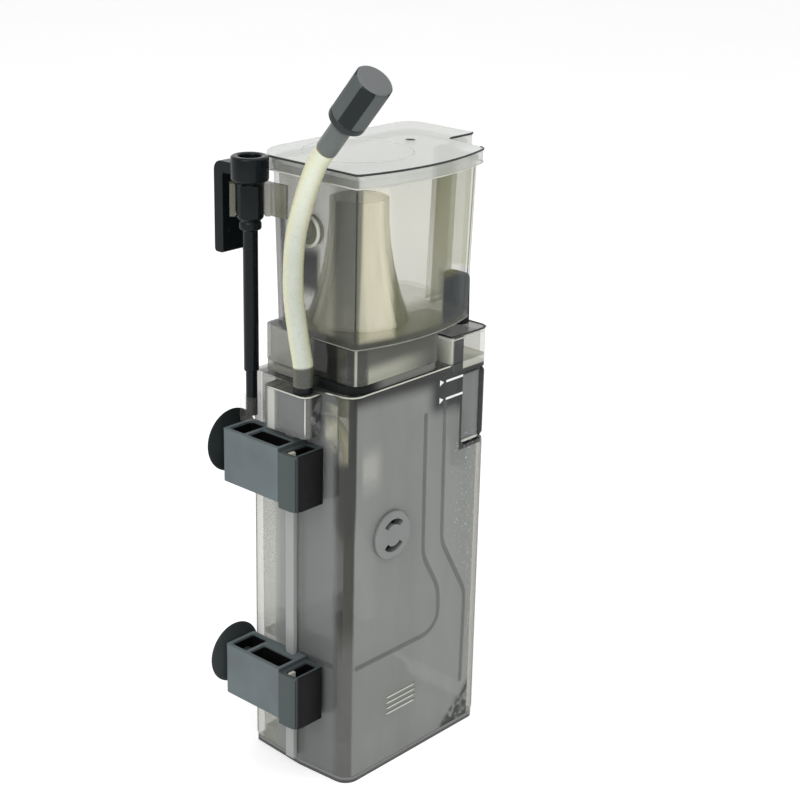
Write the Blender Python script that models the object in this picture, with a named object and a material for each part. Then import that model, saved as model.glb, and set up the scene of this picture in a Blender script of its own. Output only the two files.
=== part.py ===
"""Small in-tank protein skimmer: smoke-clear housing, lift-off collection cup, air valve, two glass brackets.

X runs along the front face to the right, Y runs back towards the tank glass, Z is up.
All sizes below are in millimetres; the meshes are written in metres.
"""
import bpy
import bmesh
from math import cos, sin, pi, tan, acos, atan2
from mathutils import Vector

for old in list(bpy.data.objects):
    bpy.data.objects.remove(old, do_unlink=True)

MM = 0.001
GAP = 0.3            # seam left between two pieces that touch
RUN = 0.5            # running clearance round pieces that slide or turn

# Housing
BODY_W = 93.0
BODY_D = 61.0
DECK_Z = 194.0
DECK_T = 2.5
WALL = 2.2
BASE_T = 3.0
SPIGOT_H = 5.0
CORNER_FRONT_LEFT = 7.0
CORNER = 4.0
SEAM_Y = 29.5        # moulding seam on the left side, from the front
SEAM_OUT = 2.0       # how far the drafted side stands out at the seam

# Collection cup, neck and riser
CUP_FLOOR_Z = 215.0
CUP_TOP_Z = 290.0
CUP_WALL = 1.6
CUP_FLOOR_T = 2.5
CUP_TAPER = 1.5
CUP_LEFT = 2.0
CUP_RIGHT = BODY_W - 12.0
CUP_REAR_RIGHT = BODY_W + 6.0
CUP_BACK = BODY_D + 1.5
CUP_REAR_ROUND = 20.0  # clears the hanger's collar
CUP_BOW = 7.0
NOTCH_Y = 25.0        # depth of the corner that the cup leaves to the cable
NECK_LEFT = 5.0
NECK_RIGHT = BODY_W - 32.0
NECK_FRONT = 4.5
NECK_BACK = BODY_D - 4.0
NECK_FOOT_Z = 182.0
NECK_R = 7.0
SEAL_T = 4.0
FLANGE_FRONT = 4.0    # how far the neck's flange stands out over the deck
FLANGE_BACK = 3.0
FLANGE_LEFT = 1.5
RISER_X = NECK_LEFT + 31.0
RISER_Y = (NECK_FRONT + NECK_BACK) / 2
RISER_TOP_Z = CUP_TOP_Z - 17.0
RISER_TOP_R = 13.3
RISER_FOOT_R = (NECK_BACK - NECK_FRONT) / 2 - 3.2
RISER_WALL = 1.8
LID_T = 3.2
LID_SKIRT = 2.8
LID_WALL = 1.5
LID_TAB = 5.0        # grip of the lid past the cup's rear lobe
VENT_D = 5.0
VENT_X = BODY_W - 21.6
VENT_Y = BODY_D - 28.2
DRAIN_D = 14.0
DRAIN_Y = 26.0
DRAIN_Z = CUP_TOP_Z - 25.0

# Intake corner and its hood
HOOD_X = BODY_W - 26.7
HOOD_D = 40.0
HOOD_Z = DECK_Z + 13.4
WINDOW_X = BODY_W - 17.8
WINDOW_D = 9.0
WINDOW_Z0 = 152.0
WINDOW_Z1 = 188.4
GLAND_X = BODY_W - 10.0
GLAND_W = 8.0
GLAND_Y = 9.0
GLAND_D = 13.5
GLAND_H = 24.0
FLOAT_R = 5.5
FLOAT_H = 14.0
FLOAT_Z = 150.0
POST_R = 1.5

# Front dial and grille
DIAL_X = 27.5
DIAL_Z = 121.6
DIAL_D = 23.4
DIAL_T = 1.6
GRILLE_X = 26.4
GRILLE_W = 21.0
GRILLE_Z = 27.0
GRILLE_PITCH = 2.9
GRILLE_SLOT = 1.3
GRILLE_N = 4

# Chambers inside
SHEET_T = 1.6
CHAMBER_Z = 60.5
CHAMBER_X = BODY_W - 43.3
CHAMBER_TOP_Z = DECK_Z - 18.0
CHAMBER_BEND_Z = 103.0
CHAMBER_STEP = 12.2
CHAMBER_ROUND = 5.5
INTAKE_X = BODY_W - 29.8
INTAKE_BEND_Z = 106.0
INTAKE_STEP = 18.2
INTAKE_FOOT_Z = 24.0

# Pump
PUMP_X = 37.0
PUMP_Z = 31.0
MOTOR_W = 40.0
MOTOR_H = 50.0
MOTOR_Y0 = 24.0
MOTOR_Y1 = BODY_D - 5.0
WELL_R = 10.0
WELL_D = MOTOR_Y1 - MOTOR_Y0 - 10.0
VOLUTE_R = 18.0
VOLUTE_Y0 = 8.5
VOLUTE_WALL = 2.0
INLET_R = 6.0
OUTLET_R = 6.5
SHAFT_R = 1.5
NEEDLES = 16
WHEEL_R = 14.0

# Air box, hose and valve
AIR_OUT = 12.0
AIR_Y0 = 16.4
AIR_Y1 = BODY_D - 17.5
AIR_Z0 = DECK_Z - 20.0
AIR_Z1 = DECK_Z - 0.5
AIR_WALL = 1.6
PORT_Z = DECK_Z - 15.8   # hole from the air box into the housing
HOSE_X = -7.0
HOSE_Y = 22.7
HOSE_LEAN = 0.0245    # how far the hose leans out of the lid's way for each length of rise
HOSE_D = 9.0
HOSE_FOOT_Z = DECK_Z + 3.0
NIPPLE_R = 2.6
INNER_HOSE_D = 5.0
CONNECTOR_D = 9.4
CONNECTOR_L = 17.0
KNOB_D = 17.5
KNOB_L = 25.0
KNOB_FLATS = 8
KNOB_TURN = -0.21     # turn of the knob's flats at rest, in radians

# Hanger: telescopic tube with a socket and a hook plate
TUBE_X = -7.0
TUBE_Y = BODY_D - 5.4
OUTER_TUBE_R = 3.4
INNER_TUBE_R = 2.6
TUBE_FOOT_Z = DECK_Z - 19.5
TUBE_SPLIT_Z = DECK_Z + 2.0
TUBE_OVERLAP = 44.0
SOCKET_R = 6.0
SOCKET_Z0 = CUP_TOP_Z - 29.0
COLLAR_R = 8.4
COLLAR_Z0 = CUP_TOP_Z - 8.0
COLLAR_Z1 = CUP_TOP_Z + 4.0
HOOK_X0 = -10.0
HOOK_X1 = 5.0
HOOK_Y0 = BODY_D + 9.0
HOOK_T = 5.5
HOOK_Z0 = CUP_TOP_Z - 42.0
HOOK_Z1 = CUP_TOP_Z - 0.5
HOOK_ARM_T = 5.0

# Glass brackets and suction cups
RAIL_HEAD = 5.2
RAIL_NECK = 2.4
RAIL_Z0 = 5.0
RAIL_Z1 = AIR_Z0 - 0.5
BRACKET_OUT = 21.0
BRACKET_Y0 = 13.0
BRACKET_Y1 = BODY_D - 1.0
BRACKET_H = 25.5
BRACKET_WALL = 2.0
BLOCK_D = 11.0
BLOCK_DROP = 2.5
UPPER_Z = 145.0
LOWER_Z = 35.7
BLOCK_ROUND = 4.0
PAD_R = 15.0
PAD_X = -11.0
PAD_Z = 16.0          # middle of the pad above the bracket's foot

LEFT, RIGHT = -BODY_W / 2, BODY_W / 2
FRONT, BACK = -BODY_D / 2, BODY_D / 2

# Look of each finish: colour, roughness, alpha
FINISHES = {
    "smoke_clear": ((0.42, 0.43, 0.42), 0.12, 0.45),
    "cup_clear": ((0.72, 0.74, 0.66), 0.10, 0.35),
    "dark_grey": ((0.14, 0.16, 0.165), 0.40, 1.0),
    "black_plastic": ((0.020, 0.024, 0.026), 0.35, 1.0),
    "black_rubber": ((0.025, 0.027, 0.028), 0.65, 1.0),
    "silicone": ((0.74, 0.76, 0.68), 0.35, 1.0),
    "connector_grey": ((0.20, 0.22, 0.215), 0.40, 1.0),
    "ceramic": ((0.85, 0.85, 0.82), 0.30, 1.0),
    "magnet": ((0.05, 0.05, 0.055), 0.50, 1.0),
}


def finish(obj, kind):
    """Gives the object a Principled material of its own in the named finish."""
    colour, rough, alpha = FINISHES[kind]
    mat = bpy.data.materials.new(obj.name + "_" + kind)
    mat.use_nodes = True
    shader = mat.node_tree.nodes["Principled BSDF"]
    shader.inputs["Base Color"].default_value = (*colour, 1.0)
    shader.inputs["Roughness"].default_value = rough
    shader.inputs["Alpha"].default_value = alpha
    obj.data.materials.clear()
    obj.data.materials.append(mat)
    return obj


def solid(name, verts, faces, kind="smoke_clear", smooth=False):
    """Makes one closed object from points in millimetres."""
    mesh = bpy.data.meshes.new(name)
    mesh.from_pydata([Vector(v) * MM for v in verts], [], faces)
    bm = bmesh.new()
    bm.from_mesh(mesh)
    bmesh.ops.recalc_face_normals(bm, faces=bm.faces)
    for face in bm.faces:
        face.smooth = smooth
    bm.to_mesh(mesh)
    bm.free()
    obj = bpy.data.objects.new(name, mesh)
    bpy.context.collection.objects.link(obj)
    return finish(obj, kind)


def loft(name, rings, kind="smoke_clear", smooth=False):
    """Skins a row of rings with equal counts and closes both ends."""
    n = len(rings[0])
    verts = [p for ring in rings for p in ring]
    faces = [tuple(range(n)), tuple(range((len(rings) - 1) * n, len(rings) * n))]
    for k in range(len(rings) - 1):
        a, b = k * n, (k + 1) * n
        faces += [(a + i, a + (i + 1) % n, b + (i + 1) % n, b + i) for i in range(n)]
    return solid(name, verts, faces, kind, smooth)


def prism(name, outline, lo, hi, kind="smoke_clear", axis="Z"):
    """Extrudes an outline along Z (outline in X,Y) or along Y (outline in X,Z)."""
    if axis == "Z":
        rings = [[(u, v, w) for u, v in outline] for w in (lo, hi)]
    else:
        rings = [[(u, w, v) for u, v in outline] for w in (lo, hi)]
    return loft(name, rings, kind)


def frame_of(axis):
    """Two unit vectors across the given axis."""
    w = Vector(axis).normalized()
    u = w.cross(Vector((0, 0, 1)))
    if u.length < 1e-6:
        u = Vector((1, 0, 0))
    u.normalize()
    return u, w.cross(u), w


def revolve(name, profile, base, axis=(0, 0, 1), kind="smoke_clear", seg=32, closed=False):
    """Turns a profile of (radius, height) round the axis through base; closed profiles make rings."""
    u, v, w = frame_of(axis)
    verts, rows = [], []
    for r, h in profile:
        centre = Vector(base) + w * h
        if r < 1e-6:
            rows.append([len(verts)] * seg)
            verts.append(tuple(centre))
        else:
            rows.append(list(range(len(verts), len(verts) + seg)))
            for i in range(seg):
                t = 2 * pi * i / seg
                verts.append(tuple(centre + (u * cos(t) + v * sin(t)) * r))
    pairs = list(zip(rows, rows[1:])) + ([(rows[-1], rows[0])] if closed else [])
    faces = []
    for a, b in pairs:
        for i in range(seg):
            j = (i + 1) % seg
            loop = [a[i], a[j], b[j], b[i]]
            loop = [p for k, p in enumerate(loop) if p not in loop[:k]]
            if len(loop) > 2:
                faces.append(tuple(loop))
    obj = solid(name, verts, faces, kind, smooth=True)
    obj.data.set_sharp_from_angle(angle=pi / 5)
    return obj


def rounded(corners, seg=5):
    """Outline from corners (x, y, radius); a radius of zero keeps the corner sharp."""
    points = []
    n = len(corners)
    for i, (x, y, r) in enumerate(corners):
        here = Vector((x, y))
        to_last = (Vector(corners[i - 1][:2]) - here).normalized()
        to_next = (Vector(corners[(i + 1) % n][:2]) - here).normalized()
        angle = acos(max(-1.0, min(1.0, to_last.dot(to_next))))
        if r <= 0 or abs(angle - pi) < 1e-3:
            points.append((x, y))
            continue
        reach = r / tan(angle / 2)
        centre = here + (to_last + to_next).normalized() * (r / sin(angle / 2))
        a = here + to_last * reach - centre
        b = here + to_next * reach - centre
        t0 = atan2(a.y, a.x)
        turn = (atan2(b.y, b.x) - t0 + pi) % (2 * pi) - pi
        for k in range(seg + 1):
            t = t0 + turn * k / seg
            points.append((centre.x + r * cos(t), centre.y + r * sin(t)))
    return points


def box_outline(x0, x1, y0, y1, r=0.0):
    """Rectangle with equal corner radii."""
    return rounded([(x0, y0, r), (x1, y0, r), (x1, y1, r), (x0, y1, r)])


def circle(x, y, r, seg=32):
    """Closed circle of points."""
    return [(x + r * cos(2 * pi * i / seg), y + r * sin(2 * pi * i / seg)) for i in range(seg)]


def combine(obj, other, how="DIFFERENCE"):
    """Cuts or joins another solid and keeps the plain result."""
    mod = obj.modifiers.new("shape", "BOOLEAN")
    mod.operation = how
    mod.solver = "EXACT"
    mod.object = other
    bpy.context.view_layer.update()
    graph = bpy.context.evaluated_depsgraph_get()
    mesh = bpy.data.meshes.new_from_object(obj.evaluated_get(graph))
    obj.modifiers.clear()
    old_mesh, obj.data = obj.data, mesh
    mesh.name = obj.name
    mat = old_mesh.materials[0]
    mesh.materials.clear()
    mesh.materials.append(mat)
    mesh.polygons.foreach_set("material_index", [0] * len(mesh.polygons))
    bpy.data.objects.remove(other, do_unlink=True)
    return obj


def body_outline(inset=0.0):
    """Plan of the housing: drafted left side with its seam, larger round at the front-left corner."""
    i = inset
    return rounded([
        (LEFT + i, FRONT + i, max(CORNER_FRONT_LEFT - i, 1.0)),
        (RIGHT - i, FRONT + i, max(CORNER - i, 0.8)),
        (RIGHT - i, BACK - i, max(CORNER - i, 0.8)),
        (LEFT + i, BACK - i, 1.0),
        (LEFT - SEAM_OUT + i, FRONT + SEAM_Y, 0.0)])


def side_x(y):
    """Left face of the housing at a distance from its front."""
    run = y / SEAM_Y if y < SEAM_Y else (BODY_D - y) / (BODY_D - SEAM_Y)
    return LEFT - SEAM_OUT * run


def cup_outline(inset=0.0, tab=0.0):
    """Plan of the cup and lid: bowed front, corner left out for the cable, rear lobe, large rear-left round."""
    i = inset
    x0, x1 = LEFT + CUP_LEFT + i, LEFT + CUP_RIGHT - i
    front = []
    steps = 10
    for k in range(1, steps):
        t = k / steps
        front.append((x0 + (x1 - x0) * t, FRONT + i - 4 * CUP_BOW * t * (1 - t), 0.0))
    return rounded([(x0, FRONT + i, 3.0)] + front + [
        (x1, FRONT + i, 4.6 - 0.65 * i),
        (x1 + 0.5 * tab, FRONT + NOTCH_Y + i, 2.0),
        (LEFT + CUP_REAR_RIGHT + tab - i, FRONT + NOTCH_Y + i, 4.0),
        (LEFT + CUP_REAR_RIGHT + tab - i, FRONT + CUP_BACK - i, 9.0),
        (x0, FRONT + CUP_BACK - i, CUP_REAR_ROUND)])


def at_z(outline, z):
    """Outline lifted to a height."""
    return [(x, y, z) for x, y in outline]


def sheet(name, line, y0, y1, kind="smoke_clear"):
    """Thin wall that follows a line in X,Z and runs from y0 to y1."""
    left, right = [], []
    for k, (x, z) in enumerate(line):
        a = Vector(line[max(k - 1, 0)])
        b = Vector(line[min(k + 1, len(line) - 1)])
        side = (b - a).normalized()
        normal = Vector((-side.y, side.x)) * (SHEET_T / 2)
        left.append((x + normal.x, z + normal.y))
        right.append((x - normal.x, z - normal.y))
    return prism(name, left + right[::-1], y0, y1, kind, axis="Y")


def make_housing():
    """Hollow smoke-clear body with deck opening, intake window, dial hole and grille."""
    body = prism("main_housing", body_outline(), BASE_T + GAP, DECK_Z)
    combine(body, prism("cut", body_outline(WALL), BASE_T - 1, DECK_Z - DECK_T))
    neck = box_outline(LEFT + NECK_LEFT - RUN, LEFT + NECK_RIGHT + RUN,
                       FRONT + NECK_FRONT - RUN, FRONT + NECK_BACK + RUN, NECK_R + RUN)
    combine(body, prism("cut", neck, DECK_Z - DECK_T - 1, DECK_Z + 1))
    window = rounded([(LEFT + WINDOW_X, WINDOW_Z0, 3.0), (RIGHT + 3, WINDOW_Z0, 0.0),
                      (RIGHT + 3, WINDOW_Z1, 0.0), (LEFT + WINDOW_X, WINDOW_Z1, 3.0)])
    combine(body, prism("cut", window, FRONT - 3, FRONT + WINDOW_D, axis="Y"))
    combine(body, prism("cut", circle(LEFT + DIAL_X, DIAL_Z, DIAL_D / 2 - 1.5), FRONT - 2, FRONT + WALL + 1,
                        axis="Y"))
    for k in range(GRILLE_N):
        z = GRILLE_Z + k * GRILLE_PITCH
        slot = box_outline(LEFT + GRILLE_X, LEFT + GRILLE_X + GRILLE_W, z, z + GRILLE_SLOT, GRILLE_SLOT * 0.45)
        combine(body, prism("cut", slot, FRONT - 2, FRONT + WALL + 1, axis="Y"))
    port = [(x, z) for x, z in circle(FRONT + HOSE_Y, PORT_Z, INNER_HOSE_D / 2)]
    tunnel = loft("cut", [[(x, y, z) for y, z in port] for x in (LEFT - SEAM_OUT - 2, LEFT + WALL + 2)])
    return combine(body, tunnel)


def make_base():
    """Base plate with a spigot that locates inside the housing."""
    plate = prism("base_plate", body_outline(), 0, BASE_T)
    combine(plate, prism("add", body_outline(WALL + RUN), BASE_T - 1, BASE_T + SPIGOT_H), "UNION")
    return combine(plate, prism("cut", body_outline(WALL + RUN + 1.8), BASE_T, BASE_T + SPIGOT_H + 1))


def make_hood():
    """Raised hollow intake hood on the right of the deck."""
    x0, y1 = LEFT + HOOD_X, FRONT + HOOD_D
    hood = prism("intake_hood", rounded([(x0, FRONT, 1.5), (RIGHT, FRONT, CORNER), (RIGHT, y1, CORNER),
                                         (x0, y1, 1.5)]), DECK_Z + GAP, HOOD_Z)
    combine(hood, prism("cut", box_outline(x0 + WALL, RIGHT - WALL, FRONT + WALL, y1 - WALL, 2.0),
                        DECK_Z - 1, HOOD_Z - WALL))
    return hood


def make_chambers():
    """Inner walls seen through the front: reaction chamber with its floor, and intake partition."""
    y0, y1 = FRONT - 5, BACK + 5
    room = body_outline(WALL + GAP)
    x, foot, r = LEFT + CHAMBER_X, LEFT + CHAMBER_X + CHAMBER_STEP, CHAMBER_ROUND
    floor_line = [(x, CHAMBER_TOP_Z), (x, CHAMBER_BEND_Z), (foot, CHAMBER_BEND_Z - 1.7 * CHAMBER_STEP),
                  (foot + 0.4, CHAMBER_Z + 1.2 * r), (foot - 0.25 * r, CHAMBER_Z + 0.35 * r),
                  (foot - r, CHAMBER_Z), (LEFT - 5, CHAMBER_Z)]
    chamber = sheet("reaction_chamber", floor_line, y0, y1)
    combine(chamber, prism("room", room, 0, DECK_Z), "INTERSECT")
    outlet = circle(LEFT + PUMP_X, FRONT + outlet_y(), OUTLET_R + RUN)
    combine(chamber, prism("cut", outlet, CHAMBER_Z - 4, CHAMBER_Z + 4))
    x, foot = LEFT + INTAKE_X, LEFT + INTAKE_X + INTAKE_STEP
    intake_line = [(x, DECK_Z - DECK_T - GAP), (x, INTAKE_BEND_Z), (foot, INTAKE_BEND_Z - 1.76 * INTAKE_STEP),
                   (foot, INTAKE_FOOT_Z)]
    partition = sheet("intake_partition", intake_line, y0, y1)
    combine(partition, prism("room", room, 0, DECK_Z), "INTERSECT")
    return chamber


def outlet_y():
    """Middle of the volute from the front."""
    return (VOLUTE_Y0 + MOTOR_Y0 - GAP) / 2


def make_pump():
    """Sealed motor with a rotor well, volute, needle wheel, magnet, shaft and outlet pipe."""
    x, foot = LEFT + PUMP_X, BASE_T + GAP
    motor = prism("pump_motor", box_outline(x - MOTOR_W / 2, x + MOTOR_W / 2, foot, foot + MOTOR_H, 6.0),
                  FRONT + MOTOR_Y0, FRONT + MOTOR_Y1, "dark_grey", axis="Y")
    well_y = FRONT + MOTOR_Y0 + WELL_D
    combine(motor, revolve("cut", [(0, -1), (WELL_R, -1), (WELL_R, WELL_D), (0, WELL_D)],
                           (x, FRONT + MOTOR_Y0, PUMP_Z), (0, 1, 0)))
    v0, v1 = FRONT + VOLUTE_Y0, FRONT + MOTOR_Y0 - GAP
    depth = v1 - v0
    r0, r1 = VOLUTE_R, VOLUTE_R - VOLUTE_WALL
    volute = revolve("pump_volute", [(INLET_R, 0), (r0 - 2, 0), (r0, 2), (r0, depth), (r1, depth),
                                     (r1, VOLUTE_WALL), (INLET_R, VOLUTE_WALL)],
                     (x, v0, PUMP_Z), (0, 1, 0), "dark_grey", 40, closed=True)
    pipe_y = FRONT + outlet_y()
    combine(volute, revolve("cut", [(0, 0), (OUTLET_R - 1.6, 0), (OUTLET_R - 1.6, 40), (0, 40)],
                            (x, pipe_y, PUMP_Z)))
    top = PUMP_Z + VOLUTE_R + GAP
    revolve("pump_outlet", [(OUTLET_R, 0), (OUTLET_R, CHAMBER_Z + 6 - top), (OUTLET_R - 1.6, CHAMBER_Z + 6 - top),
                            (OUTLET_R - 1.6, 0)], (x, pipe_y, top), (0, 0, 1), "dark_grey", 32, closed=True)
    revolve("rotor_shaft", [(0, 0), (SHAFT_R, 0), (SHAFT_R, well_y - GAP - v0 - VOLUTE_WALL - 1),
                            (0, well_y - GAP - v0 - VOLUTE_WALL - 1)],
            (x, v0 + VOLUTE_WALL + 1, PUMP_Z), (0, 1, 0), "ceramic", 20)
    wheel_y0 = v0 + VOLUTE_WALL + 2
    teeth = []
    for k in range(NEEDLES):
        a = 2 * pi * k / NEEDLES
        for r, d in ((5.0, -0.16), (WHEEL_R, -0.045), (WHEEL_R, 0.045), (5.0, 0.16)):
            teeth.append((x + r * cos(a + d), PUMP_Z + r * sin(a + d)))
    wheel = prism("needle_wheel", teeth, wheel_y0, wheel_y0 + 5, "black_plastic", axis="Y")
    combine(wheel, revolve("cut", [(0, -5), (SHAFT_R + GAP, -5), (SHAFT_R + GAP, 15), (0, 15)],
                           (x, wheel_y0, PUMP_Z), (0, 1, 0), seg=20))
    hub0, mag0 = wheel_y0 + 5 + GAP, FRONT + MOTOR_Y0 + 1.5
    mag1 = well_y - 1.5
    bore = SHAFT_R + GAP
    revolve("rotor_magnet", [(bore, 0), (4.2, 0), (4.2, mag0 - hub0), (WELL_R - 1.2, mag0 - hub0),
                             (WELL_R - 1.2, mag1 - hub0), (bore, mag1 - hub0)],
            (x, hub0, PUMP_Z), (0, 1, 0), "magnet", 32, closed=True)


def make_intake_float():
    """Float on a post behind the intake window."""
    x, y = LEFT + (WINDOW_X + BODY_W) / 2, FRONT + WINDOW_D
    top = DECK_Z - DECK_T - GAP
    foot = FLOAT_Z - GAP - 12
    revolve("weir_post", [(0, 0), (4.0, 0), (4.0, 12 - GAP), (POST_R, 12 - GAP), (POST_R, top - foot),
                          (0, top - foot)], (x, y, foot), (0, 0, 1), "black_plastic", 24)
    revolve("weir_float", [(POST_R + RUN, 0), (FLOAT_R - 1, 0), (FLOAT_R, 1), (FLOAT_R, FLOAT_H - 1),
                           (FLOAT_R - 1, FLOAT_H), (POST_R + RUN, FLOAT_H)],
            (x, y, FLOAT_Z), (0, 0, 1), "black_plastic", 28, closed=True)


def make_dial():
    """Flow dial: flanged disc through the front wall with two arc ports, held by a ring inside."""
    x, hole = LEFT + DIAL_X, DIAL_D / 2 - 1.5
    boss = hole - RUN
    face = FRONT - GAP - DIAL_T
    dial = revolve("outlet_dial", [(0, 0), (DIAL_D / 2 - 0.6, 0), (DIAL_D / 2, 0.6), (DIAL_D / 2, DIAL_T),
                                   (boss, DIAL_T), (boss, DIAL_T + WALL + 2 * GAP), (0, DIAL_T + WALL + 2 * GAP)],
                   (x, face, DIAL_Z), (0, 1, 0), "smoke_clear", 40)
    for middle in (pi / 2, -pi / 2):
        arc = []
        for r, way in ((boss - 1.6, 1), (boss - 4.4, -1)):
            for k in range(9):
                t = middle + way * (k / 8 - 0.5) * 1.7
                arc.append((x + r * cos(t), DIAL_Z + r * sin(t)))
        combine(dial, prism("cut", arc, face - 1, face + DIAL_T + WALL + 3, axis="Y"))
    revolve("dial_clip", [(boss - 2.2, 0), (boss + 1.6, 0), (boss + 1.6, 1.2), (boss - 2.2, 1.2)],
            (x, FRONT + WALL + 2 * GAP + GAP, DIAL_Z), (0, 1, 0), "smoke_clear", 40, closed=True)
    return dial


def make_cup():
    """Collection cup, riser, neck with its flange over the deck, deck seal and drain boss."""
    bowl = loft("collection_cup", [at_z(cup_outline(CUP_TAPER), CUP_FLOOR_Z), at_z(cup_outline(), CUP_TOP_Z)],
                "cup_clear")
    combine(bowl, loft("cut", [at_z(cup_outline(CUP_TAPER + CUP_WALL), CUP_FLOOR_Z + CUP_FLOOR_T),
                               at_z(cup_outline(CUP_WALL), CUP_TOP_Z + 2)]))
    rx, ry = LEFT + RISER_X, FRONT + RISER_Y
    combine(bowl, prism("cut", circle(rx, ry, RISER_FOOT_R + GAP, 40), CUP_FLOOR_Z - 2, CUP_FLOOR_Z + 8))
    h = RISER_TOP_Z - CUP_FLOOR_Z
    span = RISER_FOOT_R - RISER_TOP_R
    outer = [(RISER_FOOT_R, 0), (RISER_FOOT_R, 0.06 * h)]
    outer += [(RISER_TOP_R + span * (1 - t) ** 2.2, (0.06 + 0.94 * t) * h) for t in (0.2, 0.4, 0.6, 0.8, 1.0)]
    inner = [(r - RISER_WALL, z) for r, z in reversed(outer)]
    revolve("riser_cone", outer + inner, (rx, ry, CUP_FLOOR_Z), (0, 0, 1), "cup_clear", 40, closed=True)
    x0, x1 = LEFT + NECK_LEFT, LEFT + NECK_RIGHT
    y0, y1 = FRONT + NECK_FRONT, FRONT + NECK_BACK
    top = CUP_FLOOR_Z - GAP
    neck = prism("cup_neck", box_outline(x0, x1, y0, y1, NECK_R), NECK_FOOT_Z, top, "cup_clear")
    flange_z = DECK_Z + SEAL_T + GAP
    fx0, fy0, fy1 = x0 - FLANGE_LEFT, y0 - FLANGE_FRONT, y1 + FLANGE_BACK
    combine(neck, prism("add", box_outline(fx0, x1, fy0, fy1, NECK_R - 1), flange_z, top), "UNION")
    combine(neck, prism("cut", box_outline(fx0 + CUP_WALL, x1 - CUP_WALL, fy0 + CUP_WALL, fy1 - CUP_WALL,
                                           NECK_R - 1 - CUP_WALL), flange_z + CUP_WALL, top + 1))
    combine(neck, prism("cut", box_outline(x0 + CUP_WALL, x1 - CUP_WALL, y0 + CUP_WALL, y1 - CUP_WALL,
                                           NECK_R - CUP_WALL), NECK_FOOT_Z - 1, top + 1))
    seal = prism("neck_seal", box_outline(x0 - 3, x1 + 1.6, y0 - 3.6, y1 + 3, NECK_R + 2), DECK_Z + GAP,
                 DECK_Z + SEAL_T, "black_rubber")
    combine(seal, prism("cut", box_outline(x0 - RUN, x1 + RUN, y0 - RUN, y1 + RUN, NECK_R + RUN),
                        DECK_Z - 1, DECK_Z + SEAL_T + 2))
    wall_x = LEFT + CUP_LEFT
    revolve("drain_boss", [(0, 0), (DRAIN_D / 2 - 3, 0), (DRAIN_D / 2 - 3, -0.8), (DRAIN_D / 2 - 0.6, -0.8),
                           (DRAIN_D / 2, -0.2), (DRAIN_D / 2, 2.2), (0, 2.2)],
            (wall_x - 2.2 - GAP, FRONT + DRAIN_Y, DRAIN_Z), (1, 0, 0), "cup_clear", 32)
    return bowl


def make_clip():
    """Open ring on the cup that snaps round the hanger socket, with a pad on the cup's left wall."""
    tx, ty = LEFT + TUBE_X, FRONT + TUBE_Y
    r_in, r_out = SOCKET_R + RUN, SOCKET_R + RUN + 2.4
    arc = [(-0.28 * pi + 1.09 * pi * k / 24) for k in range(25)]
    outline = [(tx + r_out * cos(t), ty + r_out * sin(t)) for t in arc]
    outline += [(tx + r_in * cos(t), ty + r_in * sin(t)) for t in reversed(arc)]
    ring = prism("cup_clip", outline, SOCKET_Z0 + 6, COLLAR_Z0 - GAP, "cup_clear")
    x1 = LEFT + CUP_LEFT - GAP
    pad = box_outline(tx + r_in + 0.3, x1, ty - 15, ty - 1.5, 0.6)
    return combine(ring, prism("add", pad, SOCKET_Z0 + 6, COLLAR_Z0 - GAP), "UNION")


def make_lid():
    """Flat lid with a skirt round the cup's rim, a grip past its rear lobe and a vent hole."""
    top = CUP_TOP_Z + GAP + LID_T
    lid = prism("cup_lid", cup_outline(-LID_WALL - RUN, LID_TAB), CUP_TOP_Z - LID_SKIRT, top, "cup_clear")
    combine(lid, prism("cut", cup_outline(-RUN, LID_TAB), CUP_TOP_Z - LID_SKIRT - 1, CUP_TOP_Z + GAP))
    return combine(lid, prism("cut", circle(LEFT + VENT_X, FRONT + VENT_Y, VENT_D / 2, 20), CUP_TOP_Z, top + 1))


def make_gland():
    """Rubber strain relief of the pump's lead: a rounded block on the hood with a blind cable hole in its top."""
    x0, y0 = LEFT + GLAND_X, FRONT + GLAND_Y
    rings = []
    for inset, z in ((0.0, 0.0), (0.3, GLAND_H - 2.0), (1.0, GLAND_H - 0.5), (2.0, GLAND_H)):
        plan = box_outline(x0 + inset, x0 + GLAND_W - inset, y0 + inset, y0 + GLAND_D - inset, 3.0 - 0.8 * inset)
        rings.append(at_z(plan, HOOD_Z + GAP + z))
    block = loft("cable_gland", rings, "black_rubber")
    hole = circle(x0 + GLAND_W / 2, y0 + GLAND_D / 2, 1.8, 20)
    return combine(block, prism("cut", hole, HOOD_Z + GAP + GLAND_H - 8, HOOD_Z + GAP + GLAND_H + 2))


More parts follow.
